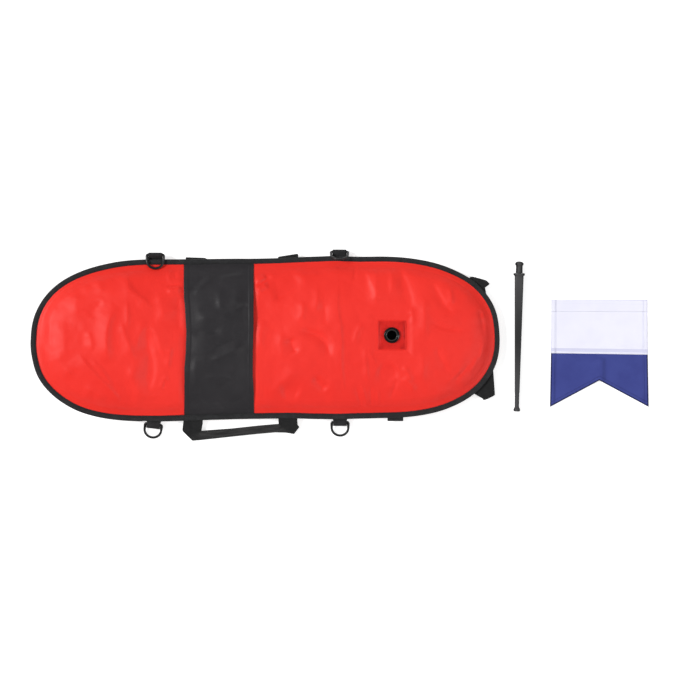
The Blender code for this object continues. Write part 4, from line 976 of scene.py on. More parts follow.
def makeCoverTop():
    step, holeCells, holeRadius = 2, 8, socket["bore"] + socket["wall"] + 0.2 * mm
    x, y, away, _ = coverPlan(432, 152)
    rows, columns = x.shape
    middle = np.hypot(x - valve["x"], y - valve["y"])[::step, ::step]
    i, j = (step * int(k) for k in np.unravel_index(middle.argmin(), middle.shape))
    low, high = (i - holeCells, j - holeCells), (i + holeCells, j + holeCells)
    hole = (slice(low[0], high[0] + 1), slice(low[1], high[1] + 1))

    dx, dy = x - valve["x"], y - valve["y"]  # round the hole, the grid gives way outward to a circle
    square = np.maximum(np.abs(dx), np.abs(dy))
    span = np.maximum(np.abs(dx[hole]), np.abs(dy[hole])).max()
    radius = np.hypot(dx, dy)
    rim = min(abs(dx[low[0], j]), abs(dx[high[0], j]), abs(dy[i, low[1]]), abs(dy[i, high[1]]))
    wanted = holeRadius + (square - rim)
    share = ease((3.2 * span - square) / (2.2 * span))
    factor = 1 + (wanted / np.maximum(radius, 1e-6) - 1) * share
    near = (square < 3.2 * span) & (radius > 1e-6)
    x = np.where(near, valve["x"] + dx * factor, x)
    y = np.where(near, valve["y"] + dy * factor, y)

    outer = np.stack([x, y, coverTopHeight(x, y)], 2)
    lowest = outer[..., 2].copy()
    for shift in range(-step, step + 1):
        for k in (0, 1):
            lowest = np.minimum(lowest, np.roll(outer[..., 2], shift, k))
    toRim = np.minimum(away / (20 * mm), 1)
    lowest = lowest * toRim + outer[..., 2] * (1 - toRim)
    inner = np.stack([x, y, lowest - section["wall"]], 2)[::step, ::step]
    index = np.arange(rows * columns).reshape(rows, columns)
    inside = rows * columns + np.arange(inner.shape[0] * inner.shape[1]).reshape(inner.shape[:2])

    def skin(numbers, gap, flip):  # the faces of a grid, less those in the gap
        a, b, c, d = numbers[:-1, :-1], numbers[1:, :-1], numbers[1:, 1:], numbers[:-1, 1:]
        keep = np.ones(a.shape, bool)
        keep[gap[0][0]:gap[1][0], gap[0][1]:gap[1][1]] = False
        order = (a, d, c, b) if flip else (a, b, c, d)
        return np.stack([side[keep] for side in order], 1).tolist()

    coarseLow, coarseHigh = [n // step for n in low], [n // step for n in high]
    faces = skin(index, (low, high), True) + skin(inside, (coarseLow, coarseHigh), False)
    rims = [(border(index), border(inside), True)]
    cut = inside[coarseLow[0]:coarseHigh[0] + 1, coarseLow[1]:coarseHigh[1] + 1]
    rims.append((border(index[hole]), border(cut), False))
    for fine, coarse, flip in rims:
        fine = fine + fine[:1]
        for k in range(len(coarse)):
            ring = [*fine[k * step:(k + 1) * step + 1], coarse[(k + 1) % len(coarse)], coarse[k]]
            faces.append(ring[::-1] if flip else ring)
    points = np.concatenate([outer.reshape(-1, 3), inner.reshape(-1, 3)])
    used = np.unique(np.concatenate([np.array(face) for face in faces]))
    renumber = np.full(len(points), -1)
    renumber[used] = np.arange(len(used))
    faces = [[int(renumber[n]) for n in face] for face in faces]
    cover = makeMesh("coverTop", points[used], faces, "cover")
    return settle(cover, "float", "cover", "top_cover")


def bottomFlatness(depth):  # 0 where the float lies on the floor, 1 where it lifts off
    return 1 - ease((depth - 40 * mm) / (30 * mm))


def makeCoverBottom():
    x, y, away, at = coverPlan(216, 76)
    depth = depthAndReach(x, y)[0] + np.maximum(edgeWave(at), 0)
    crumple = 0.28 * mm * (1 + softNoise(x, y, 38 * mm, 21)) + 0.1 * mm * (1 + softNoise(x, y, 15 * mm, 22))
    pucker = 0.5 * mm * (1 + noiseAlong(at, 16 * mm, 23)) * hump(away - 30 * mm, 12 * mm)
    free = ease((away - 18 * mm) / (20 * mm)) * ease(bottomFlatness(depth) + 0.15)
    outer = np.stack([x, y, bottomHeight(depth) + (crumple + pucker) * free], 2)
    inner = outer + (0, 0, section["wall"])
    return settle(closedSheet("coverBottom", outer, inner, "coverBelow"), "float", "cover", "bottom_cover")


# Binding round the edge

tape = {
    "width": (10.2 * mm, 9.3 * mm),  # at the left and right ends
    "nearExtra": 1.1 * mm,  # how much wider it is on the near side
    "wall": 0.9 * mm, "top": 16.15 * mm, "bottom": 11.85 * mm, "corner": 1.1 * mm,
    "bulge": 0.95 * mm,  # how far it rises over the band's ends
    "dent": (-225.5 * mm, -154.5 * mm),  # it is pressed in where the near left ring folds back over it
    "dentDepth": 1.0 * mm, "dentWidth": 6 * mm, "stitchRows": (1.7 * mm, 3.4 * mm),
}


def tapeBulge(x):
    share = ease((x - band["left"] + 9 * mm) / (7 * mm)) * ease((band["right"] + 9 * mm - x) / (7 * mm))
    return tape["bulge"] * share


def makeBinding():
    wall, top, bottom, r = tape["wall"], tape["top"], tape["bottom"], tape["corner"]
    around = [  # share of the width, depth beyond it, height, and which face it is on
        (1, 0, top - 0.25 * mm, 1), (1, -0.5 * mm, top, 1), (0.6, 0, top, 1), (0.35, 0, top, 1),
        (0, r, top, 1), (0, r * 0.35, top - r * 0.3, 1), (0, 0, top - r, 1),
        (0, -0.15 * mm, (top + bottom) / 2, 0),
        (0, 0, bottom + r, -1), (0, r * 0.35, bottom + r * 0.3, -1), (0, r, bottom, -1),
        (0.5, 0, bottom, -1), (1, -0.5 * mm, bottom, -1), (1, 0, bottom + 0.25 * mm, -1),
        (1, 0, bottom + wall, 0), (0, wall + 0.2 * mm, bottom + wall, 0),
        (0, wall + 0.2 * mm, top - wall, 2), (1, 0, top - wall, 2),
    ]
    leftWide, rightWide = tape["width"]
    along = (outline[:, 0] - plan["leftTip"]) / (plan["rightTip"] - plan["leftTip"])
    width = between(leftWide, rightWide, ease(along / 0.8))
    width = width + tape["nearExtra"] * ease(-outline[:, 1] / (90 * mm)) * ease((along - 0.1) / 0.2)
    bulge = tapeBulge(outline[:, 0])
    fromDent = np.hypot(*(outline - tape["dent"]).T)
    press = tape["dentDepth"] * hump(fromDent, tape["dentWidth"])
    rows = []
    for point, out, s, wide, high, dent in zip(outline, outlineOut, outlineAt, width, bulge, press):
        ripple = 0.16 * mm * float(noiseAlong(s, 9 * mm, 31)) + 0.12 * mm * float(noiseAlong(s, 23 * mm, 32))
        row = []
        for share, beyond, height, side in around:
            depth = wide * share + beyond + dent * (1 - share)
            p = point - out * depth
            over = ease(depth / (3 * mm))
            rise = high * over if side > 0 else 0
            row.append((p[0], p[1], height + (side if abs(side) == 1 else 0) * abs(ripple) * over + rise))
        rows.append(row)
    binding = ringSweep("edgeBinding", rows, "tape")
    settle(binding, "float", "tape", "edge_binding")
    lines = []
    for depth in tape["stitchRows"]:
        path = outline - outlineOut * (width - depth)[:, None]
        for height, rise in ((top + 0.2 * mm, bulge), (bottom - 0.2 * mm, 0 * bulge)):
            line = [(x, y, height + up) for (x, y), up in zip(path, rise)]
            lines.append(line + line[:1])
    stitches = sewn("bindingStitches", lines, "thread", 3.4 * mm, 2.5 * mm, 0.42 * mm)
    return binding, settle(stitches, "float", "tape")


# Cargo band

bandEdges = {
    "left": [
        (183.9, 253), (184.1, 284), (184.3, 296), (185.2, 304), (186.7, 330),
        (186, 352), (184.7, 368), (184.8, 380), (184.6, 400), (184.1, 425),
    ],
    "right": [
        (254.2, 253), (253.8, 272), (253.9, 300), (253.8, 328),
        (253.2, 352), (253.1, 376), (254, 392), (254.2, 425),
    ],
}
bandWrinkles = [
    (-2.0, 6, 4, [(206, 275), (197, 284), (189, 292)]), (1.6, 6, 6, [(213, 277), (202, 286), (193, 295)]),
    (-2.0, 6, 5, [(214, 276), (226, 271), (242, 268)]), (1.6, 7, 6, [(216, 283), (230, 277), (247, 274)]),
    (-1.7, 4, 4, [(234, 311), (240, 308), (249, 304)]), (-2.2, 7, 6, [(204, 353), (222, 346), (247, 334)]),
    (2.0, 8, 8, [(206, 363), (226, 355), (248, 343)]), (-1.8, 5, 4, [(194, 394), (202, 402), (209, 412)]),
    (-1.8, 5, 4, [(232, 410), (239, 404), (247, 398)]), (1.6, 9, 9, [(195, 320), (215, 316), (236, 322)]),
    (-1.5, 8, 8, [(192, 336), (206, 330), (224, 332)]), (1.6, 7, 6, [(214, 396), (222, 404), (228, 415)]),
    (-1.4, 8, 7, [(222, 300), (210, 306), (198, 312)]), (1.6, 8, 7, [(200, 380), (218, 376), (238, 380)]),
    (-1.4, 6, 7, [(236, 372), (222, 386), (214, 392)]), (1.5, 9, 7, [(222, 286), (219, 298), (222, 312)]),
    (1.4, 7, 9, [(197, 356), (194, 370), (198, 386)]), (1.2, 9, 9, [(240, 284), (236, 296), (238, 308)]),
]


def edgeY(x, side):  # the sewn edge's y above or below the band
    there = (outline[:, 1] * side > 0) & (np.abs(outline[:, 0]) < 300 * mm)
    order = np.argsort(outline[there, 0])
    return np.interp(x, outline[there, 0][order], outline[there, 1][order])


def bandUnderside(x, y, u):
    depth, _ = nearestEdge(x, y)
    share = (depth - section["weld"]) / (band["slackFullAt"] - section["weld"])
    gap = between(band["edgeGap"], band["gap"], ease((depth - 12 * mm) / (8 * mm)))
    puffed = hump(y - 45 * mm, 38 * mm) * ease((u - 0.5) / 0.4)  # it stands open most at the upper right
    loose = np.maximum(ease(np.minimum(u, 1 - u) / 0.3), 0.6 * puffed)
    slack = between(band["edgeSlack"], band["slack"], loose)
    return coverTopHeight(x, y) + gap + slack * ease(share), depth


def makeBand():
    across, along, hemColumns = 66, 156, band["hemColumns"]
    v = np.linspace(0, 1, along + 1)[:, None]
    hem = band["hemWidth"] / (band["right"] - band["left"])
    middle = np.linspace(hem + 0.02, 1 - hem - 0.02, across - 2 * hemColumns - 1)
    hems = np.linspace(0, hem, hemColumns), np.linspace(1 - hem, 1, hemColumns)
    u = np.concatenate([hems[0], [hem + 0.004], middle, [1 - hem - 0.004], hems[1]])[None, :]
    y = 151 * mm - 302 * mm * v + 0 * u
    edges = {}
    for side, points in bandEdges.items():
        points = np.array([fromPhoto(*p) for p in points])[::-1]
        edges[side] = np.interp(y[:, :1], points[:, 1], points[:, 0])
    x = edges["left"] * (1 - u) + edges["right"] * u
    far, near = edgeY(x, 1) - band["end"], edgeY(x, -1) + band["end"]
    y = far + (near - far) * v
    under, depth = bandUnderside(x, y, u)
    free = ease((depth - 20 * mm) / (30 * mm))
    folds = 0.8 * wrinkleHeight(x, y, bandWrinkles) + 0.4 * mm * softNoise(x, y, 30 * mm, 41) * free
    folds += 0.22 * mm * softNoise(x, y, 12 * mm, 42) * free
    folds = (folds + 0.9 * mm * free) * ease((depth - 12 * mm) / (14 * mm))
    folds = np.maximum(folds, -2.2 * mm * free)
    inHem = (u <= hem + 1e-9) | (u >= 1 - hem - 1e-9)
    puff = band["hemRise"] * inHem * (0.8 + 0.25 * noiseAlong(y, 14 * mm, 43))
    puff = puff * ease((depth - 10 * mm) / (4 * mm))
    lower = np.stack([x, y, under + folds], 2)
    upper = np.stack([x, y, under + folds + band["wall"] + puff], 2)
    upper[:, [0, -1], 2] -= 0.35 * mm
    made = closedSheet("cargoBand", upper, lower, "band")
    settle(made, "float", "band", "cargo_band")
    lines = [upper[:, column] + (0, 0, 0.12 * mm) for column in (hemColumns - 2, u.size - hemColumns + 1)]
    stitches = sewn("bandStitches", lines, "thread", 3.2 * mm, 2.3 * mm, 0.4 * mm)
    return made, settle(stitches, "float", "band")


# Valve and the patch it is welded into

patch = {
    "length": 55 * mm, "width": 57.5 * mm, "bottom": 45.3 * mm, "wall": 1.2 * mm, "squareness": 9.0,
    "rim": 0.95 * mm, "rimWidth": 5 * mm,  # how far its rim slopes down
    "groove": 0.4 * mm, "grooveAt": 4.5 * mm, "grooveWidth": 0.9 * mm,
    "swell": 0.5 * mm, "swellAt": 21 * mm, "swellWidth": 3.5 * mm,
}


def makePatch():
    steps, rings = 128, 26
    hole = socket["bore"] + socket["wall"] + 0.3 * mm
    angle = np.linspace(0, 2 * math.pi, steps, endpoint=False)[:, None]
    halfLength, halfWidth = patch["length"] / 2, patch["width"] / 2
    n = patch["squareness"]
    edge = (np.abs(np.cos(angle)) / halfLength) ** n + (np.abs(np.sin(angle)) / halfWidth) ** n
    edge = edge ** (-1 / n)
    share = np.linspace(0, 1, rings)[None, :]
    radius = hole + (edge - hole) * share
    x, y = valve["x"] + radius * np.cos(angle), valve["y"] + radius * np.sin(angle)
    fromEdge = np.minimum(halfLength - np.abs(x - valve["x"]), halfWidth - np.abs(y - valve["y"]))
    rim = -patch["rim"] * (1 - ease(fromEdge / patch["rimWidth"]))
    groove = -patch["groove"] * hump(fromEdge - patch["grooveAt"], patch["grooveWidth"])
    groove = groove * (np.abs(x - valve["x"]) > 20 * mm)
    mottle = 0.35 * mm * softNoise(x, y, 6 * mm, 51) + 0.2 * mm * softNoise(x, y, 3 * mm, 52)
    swell = patch["swell"] * hump(radius - patch["swellAt"], patch["swellWidth"])
    relief = (mottle * 0.6 + swell * 0.4) * ease((radius - 16 * mm) / (4 * mm))
    top = patch["bottom"] + patch["wall"] + rim + groove + relief
    upper = np.stack([x, y, np.minimum(top, patch["bottom"] + 2 * mm)], 2)
    lower = np.stack([x, y, np.full_like(x, patch["bottom"])], 2)
    sections = np.concatenate([lower, upper[:, ::-1]], 1)
    uv = np.stack([x - valve["x"], fromEdge], 2)
    uv = np.concatenate([uv, uv[:, ::-1]], 1).reshape(-1, 2)
    made = ringSweep("valvePatch", sections, "patch", uv=uv)
    made.data.set_sharp_from_angle(angle=math.radians(60))
    return settle(made, "float", "patch", "valve_patch")


def makeValve():
    bore, lip, top = socket["bore"], socket["lip"], socket["flangeTop"]
    outer, flange = bore + socket["wall"], socket["flange"]
    profile = [
        (bore, socket["end"]), (outer, socket["end"]),
        (outer, socket["flangeBottom"]), (flange, socket["flangeBottom"]), (flange, top - 2.2 * lip),
        (flange - 0.5 * lip, top - 0.9 * lip), (flange - 1.5 * lip, top - 0.1 * lip),
        (flange - 2.4 * lip, top - 0.4 * lip), (flange - 3.1 * lip, top - 1.3 * lip),
        (flange - 3.7 * lip, top - 1.3 * lip),
        (bore + 2 * lip, top - 0.4 * lip), (bore + 1.3 * lip, top), (bore + 0.8 * lip, top - 0.5 * lip),
        (bore + 0.3 * lip, top - 1.9 * lip), (bore, top - 3.4 * lip),
    ]
    place = Matrix.Translation((valve["x"], valve["y"], 0))
    made = turned("valveRing", rounded(profile, 0.45 * mm), "valve", place)
    return settle(made, "float", "valve", "valve_body")


# Webbing loops and D-rings

ring = {
    "wire": 2.65 * mm, "bow": 2.3 * mm,  # the wire's radius at the bar and at the bow
    "depth": 0.76,  # how thick the wire is from front to back, as a share of its width
    "half": 15.7 * mm, "side": 10.2 * mm, "corner": 2.7 * mm,
}
loops = {
    "wall": 1.2 * mm, "width": 25.9 * mm, "rootWidth": 28 * mm, "root": 14 * mm,
    "reach": 3 * mm, "gap": 0.3 * mm, "top": 11.55 * mm,
}
# Each ring's joint, how far its bar lies out from the edge, its angle above outward at rest, the slack in its
# loop, and how far the ring is moved along the bar and below it.
ringPlaces = {
    "nearLeft": ("near_left_ring", 8.4 * mm, -15.4, 2.6 * mm, (-1.6 * mm, 0.75 * mm)),
    "nearRight": ("near_right_ring", 8.4 * mm, -15.4, 1.9 * mm, (0.0, 0.3 * mm)),
    "farLeft": ("far_left_ring", 7.9 * mm, 171.3, 0.0, (0.0, 0.0)),
    "farRight": ("far_right_ring", 9.8 * mm, 123.0, 0.0, (0.0, 0.0)),
}


def hingeFrame(name):  # the joint's axis as local X, outward as Y and up as Z
    joint = joints[name + "_hinge"]
    along = Vector(joint["axis"]).normalized()
    up = Vector((0, 0, 1))
    turn = Matrix((along, up.cross(along), up)).transposed().to_4x4()
    return Matrix.Translation(joint["pos_m"]) @ turn


def ringLine():  # the middle of the wire: the bar, a straight side, the bow and the other side
    half, side, corner = ring["half"], ring["side"], ring["corner"]
    right = []
    for angle in np.linspace(0, math.pi / 2, 7):
        right.append((half - corner + corner * math.sin(angle), corner * (1 - math.cos(angle))))
    line = [(-x, y) for x, y in reversed(right)] + right
    line += [(half, corner + (side - corner) * step / 4) for step in range(1, 4)]
    for angle in np.linspace(0, math.pi, 41):
        line.append((half * math.cos(angle), side + half * math.sin(angle)))
    line += [(-half, side - (side - corner) * step / 4) for step in range(1, 4)]
    return np.array(line)


def makeRing(title):
    node, _, angle, _, (shift, drop) = ringPlaces[title]
    place = hingeFrame(node) @ Matrix.Rotation(math.radians(angle), 4, "X")
    place = place @ Matrix.Translation((shift, 0, -drop))
    line = ringLine()
    step = np.roll(line, -1, 0) - np.roll(line, 1, 0)
    normal = np.stack([-step[:, 1], step[:, 0]], 1) / np.linalg.norm(step, axis=1, keepdims=True)
    rows = []
    for point, out in zip(line, normal):
        row = []
        wire = between(ring["wire"], ring["bow"], float(ease(point[1] / ring["side"] - 0.3)))
        for k in range(16):
            turn = 2 * math.pi * (k + 0.5) / 16
            side = point + out * wire * math.cos(turn)
            row.append(place @ Vector((side[0], side[1], wire * ring["depth"] * math.sin(turn))))
        rows.append(row)
    made = ringSweep(title + "Ring", rows, "ring")
    return settle(made, node, "ring", node)


def loopLine(bar, slack):  # the strap's middle line in (outward, up), over the ring's bar and back under it
    radius = ring["wire"] + loops["gap"] + loops["wall"] / 2 + slack / 2
    bar = bar + Vector((slack, 0))
    high = loops["top"] - loops["wall"] / 2
    low = high - loops["wall"] - loops["gap"]
    bend, under = Vector((loops["reach"] / 3, high)), Vector((loops["reach"] / 3, low))

    def touch(start, side):
        away = start - bar
        return bar + Matrix.Rotation(math.acos(radius / away.length) * side, 2) @ (away.normalized() * radius)

    first, last = touch(bend, -1), touch(under, 1)
    start = math.atan2(*(first - bar).yx)
    sweep = (start - math.atan2(*(last - bar).yx)) % (2 * math.pi)
    line = [Vector((-loops["root"], high)), Vector((-loops["root"] / 2, high)), bend, bend.lerp(first, 0.5)]
    for step in range(19):
        angle = start - sweep * step / 18
        line.append(bar + Vector((math.cos(angle), math.sin(angle))) * radius)
    line += [last.lerp(under, 0.5), under]
    return line + [Vector((-loops["root"] / 2, low)), Vector((-loops["root"], low))]


def makeLoop(title):
    node, reach, _, slack, (shift, drop) = ringPlaces[title]
    place = hingeFrame(node) @ Matrix.Translation((shift, 0, 0))
    height = place.translation.z
    edge = place @ Matrix.Translation((0, -reach, -height))
    grid = []
    for point in loopLine(Vector((reach, height - drop)), slack):
        width = between(loops["rootWidth"], loops["width"], float(ease(point.x / (0.35 * reach))))
        grid.append([edge @ Vector((u, point.x, point.y)) for u in np.linspace(-width / 2, width / 2, 13)])
    made = clothStrip(title + "Loop", np.array(grid), loops["wall"], "webbing")
    return settle(made, "float", "webbing", node.replace("_ring", "_tab"))


# Carry handles

handle = {"rootHeight": 10.75 * mm, "sewn": 14 * mm}


def refine(keys, counts):  # rows between key rows; a count of steps for each span
    rows = []
    for (a, b), count in zip(zip(keys, keys[1:]), counts):
        for step in range(count):
            share = step / count
            rows.append([p * (1 - share) + q * share for p, q in zip(a, b)])
    rows.append(list(keys[-1]))
    return rows


def foldPath(dip, hingeHeight, radius, reach):  # (outward, up) at a length past the hinge of a bent strap
    away = np.array([math.cos(dip), math.sin(dip)])
    rise = handle["rootHeight"] - hingeHeight
    toMeet = rise / math.sin(-dip) if abs(rise) > 1e-6 else 0.0
    meet = np.array([0, hingeHeight]) - away * toMeet
    cut = radius * math.tan(abs(dip) / 2)
    points = [(-3 * handle["sewn"], handle["rootHeight"]), (meet[0] - cut, handle["rootHeight"])]
    centre = np.array([meet[0] - cut, handle["rootHeight"] - radius])
    for step in range(1, 16):
        angle = abs(dip) * step / 15
        points.append(tuple(centre + radius * np.array([math.sin(angle), math.cos(angle)])))
    points.append(tuple(np.array([0, hingeHeight]) + away * reach))
    points = np.array(points)
    steps = np.linalg.norm(np.diff(points, axis=0), axis=1)
    lengths = np.concatenate([[0], np.cumsum(steps)])
    lengths -= lengths[-1] - reach  # zero lies at the hinge
    return lambda v: np.array([np.interp(v, lengths, points[:, 0]), np.interp(v, lengths, points[:, 1])])


def handleGrid(keys, counts, place, path, stand=((0, 0),), columns=17):
    standAt, standOut = np.array(stand).T * mm
    rows = refine(keys, counts)
    grid, walls = [], []
    for inner, outer, wall, hold in rows:
        line = []
        for k in range(columns):
            share = k / (columns - 1)
            u, v = inner * (1 - share) + outer * share
            out, up = path(v)
            line.append(place @ Vector((u, out + hold * float(np.interp(u, standAt, standOut)), up)))
        grid.append(line)
        walls.append([wall] * columns)
    return np.array(grid), np.array(walls)


def makeNearHandle():
    place = hingeFrame("near_handle")
    place = Matrix.Translation((0, 0, -place.translation.z)) @ place
    hinge, dip = place.translation, math.radians(-14.8)
    path = foldPath(dip, handle["rootHeight"], 9 * mm, 60 * mm)

    def at(px, py):
        x, y = fromPhoto(px, py)
        local = place.inverted() @ Vector((x, y, 0))
        return np.array([local.x, local.y / math.cos(dip) if local.y > 0 else local.y])

    table = [
        ((203.2, 412.5), (183.2, 412.5), 1.6, 8), ((202.9, 420.4), (183.6, 420.4), 1.6, 5),
        ((202.8, 423.4), (183.2, 423.4), 1.6, 6), ((201.6, 430.2), (182.4, 429.8), 1.7, 5),
        ((201.5, 430.6), (183.0, 431.4), 1.8, 7), ((201.6, 430.7), (187.6, 436.0), 2.2, 7),
        ((201.9, 430.7), (192.5, 440.7), 2.8, 5), ((203.6, 430.6), (199.5, 440.1), 3.2, 5),
        ((208.0, 430.2), (207.0, 439.3), 3.4, 18), ((232.4, 428.4), (232.4, 436.5), 3.4, 18),
        ((257.8, 425.6), (257.8, 433.8), 3.4, 12), ((274.0, 424.2), (275.0, 432.3), 3.3, 5),
        ((278.2, 423.9), (286.0, 432.6), 2.9, 5), ((278.7, 423.7), (294.0, 434.0), 2.3, 6),
        ((278.8, 423.4), (299.4, 427.0), 1.9, 3), ((278.7, 423.0), (297.7, 424.8), 1.6, 3),
        ((278.4, 420.8), (297.4, 420.8), 1.6, 8), ((278.3, 412.5), (297.5, 412.5), 1.6, 0),
    ]
    keys = [[at(*inner), at(*outer), wall * mm, 0] for inner, outer, wall, _ in table]
    grid, walls = handleGrid(keys, [row[3] for row in table[:-1]], place, path)
    s = np.linspace(0, 1, grid.shape[1])[None, :]
    gripping = ease((walls - 2.2 * mm) / (0.9 * mm))
    x = grid[..., 0]
    streak = 0.55 * mm * hump(s - 0.42 - 0.08 * noiseAlong(x, 60 * mm, 61), 0.07)
    streak += 0.35 * mm * softNoise(x, s * 20 * mm + 0 * x, 5 * mm, 62) * ease(s / 0.1) * ease((1 - s) / 0.1)
    walls = walls + (streak * 0.7 - 0.3 * mm * hump(s - 0.5, 0.06)) * gripping
    crown = (1 - (2 * s - 1) ** 4) * 0.35 + 0.65
    walls = walls * np.where(gripping > 0.01, crown, 1)
    grid[..., 2] = np.maximum(grid[..., 2], walls / 2 + 0.15 * mm)
    lengths = gridLengths(grid)[:, grid.shape[1] // 2, 0]
    held = lengths[gripping[:, 0] > 0.5]
    finishes["gripWebbing"] = wovenStrap(
        "blackGripWebbing", (0.0045, 0.0045, 0.0048), (0.0135, 0.0135, 0.014), 1.5 * mm, 2.4 * mm,
        held=(float(held[0]), float(held[-1]), (0.034, 0.033, 0.033)),
    )
    made = clothStrip("nearHandle", grid, walls, "gripWebbing")
    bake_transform(made)
    return settle(made, None, "webbing", "near_handle", "near_handle_left_end", "near_handle_right_end")


# Where each leg of a folded handle lies along its hinge, its outer edge up to the fold, and how far out the
# fold stands, in millimetres.
foldedHandles = {
    "farHandle": {
        "node": "far_handle", "legs": ((66, 106.5), (67, 105)), "slant": 0,
        "root": ((108.5, -15, 106.5, -8, 106.5), (108.5, -15, 105, -8, 105)),
        "stand": [
            (-106.5, -3.0), (-71.8, -4.9), (-66, -7.4), (67, -8.2), (68.3, -6.3), (103.6, -1.5), (105, -4),
        ],
    },
    "endHandle": {
        "node": "end_handle", "legs": ((70, 111.2), (62, 121)), "slant": 16,
        "root": ((108.5, -41, 109.2, -14.2, 111.1), (108.5, -40.6, 112.9, -33.6, 120.8)),
        "stand": [
            (-112, -33.2), (-102.7, -5.3), (-96, 0.9), (-89.9, -8.4), (-77.9, -6.6),
            (-70, -7.7), (62, -2.5), (63.6, -1.2), (112.9, -0.2), (122, -21.4),
        ],
    },
}


def makeFoldedHandle(title):
    given = foldedHandles[title]
    place = hingeFrame(given["node"])
    height = place.translation.z
    place = Matrix.Translation((0, 0, -height)) @ place
    reach, slant = 33 * mm, given["slant"]
    dip = math.asin((height - 1.7 * mm) / reach) - math.pi
    path = foldPath(dip, height, 0.94 * mm, 60 * mm)
    sides = []
    for side, (inner, outer), root in zip((-1, 1), given["legs"], given["root"]):
        table = [
            (70.5, -15, *root[:2], 1.6, 0, 7), (inner, -5, *root[2:4], 1.6, 1, 7),
            (inner, -3, root[4], -3, 1.6, 1, 8), (inner, 4, outer, 4, 1.6, 1, 6),
            (inner, 14, outer - 1 - slant, 16.5, 1.6, 1, 5),
            (inner, 14.1, outer - 6 - slant, 22.5, 1.8, 1, 5),
            (inner, 14.2, outer - 19 - slant, 33, 2.4, 1, 5),
            (inner - 0.5, 14.2, inner + 6, 33, 2.9, 1, 4), (inner - 4, 14, inner - 4, 33, 3.4, 1, 30),
        ]
        sides.append([
            [np.array([side * a, v]) * mm, np.array([side * b, w]) * mm, wall * mm, hold]
            for a, v, b, w, wall, hold, _ in table
        ])
        counts = [row[-1] for row in table]
    keys, counts = sides[0] + sides[1][::-1], counts + counts[-2::-1]
    grid, walls = handleGrid(keys, counts, place, path, given["stand"], 29)
    grid[..., 2] = np.maximum(grid[..., 2], walls / 2 + 0.1 * mm)
    made = clothStrip(title, grid, walls, "legWebbing")
    node = given["node"]
    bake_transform(made)
    return settle(made, None, "webbing", node, node + "_left_end", node + "_right_end")


def makeStub():
    low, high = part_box("edge_stub")
    wall, root, half = loops["wall"], loops["root"], 29.7 / 2 * mm
    x = (low.x + high.x) / 2
    edge = high.y - root
    upper = loops["top"] - wall / 2
    radius = (wall + loops["gap"]) / 2
    out = 7 * mm - radius - wall / 2
    line = [(-root, upper), (-5 * mm, upper), (0, upper), (out * 0.6, upper)]
    for step in range(13):
        angle = math.pi / 2 - math.pi * step / 12
        line.append((out + radius * math.cos(angle), upper - radius + radius * math.sin(angle)))
    line += [(out * 0.6, upper - 2 * radius), (0, upper - 2 * radius), (-root, upper - 2 * radius)]
    grid = [[(x - u, edge - p, q) for u in np.linspace(-half, half, 15)] for p, q in line]
    made = clothStrip("edgeStub", np.array(grid), wall, "webbing")
    return settle(made, "float", "webbing", "edge_stub")


# Mast

mast = {  # where it lies, and the radius and length of each part of it
    "plug": (478.1 * mm, 145 * mm), "footX": 473.2 * mm,
    "head": (8 * mm, 8 * mm), "neck": (6.45 * mm, 14 * mm), "collar": (10.7 * mm, 4.5 * mm),
    "shaft": (8.5 * mm, 4.45 * mm, 229.5 * mm), "cap": (4.2 * mm, 26 * mm), "foot": (6.3 * mm, 10 * mm),
    "spigot": (3.4 * mm, 12 * mm), "gap": 0.3 * mm, "step": 10 * mm, "squareness": 4.5,
}


def ringsOf(radius, start, length, shares):  # points of a profile, given as shares of a radius and a length
    return [(radius * r, start + length * z) for r, z in shares]


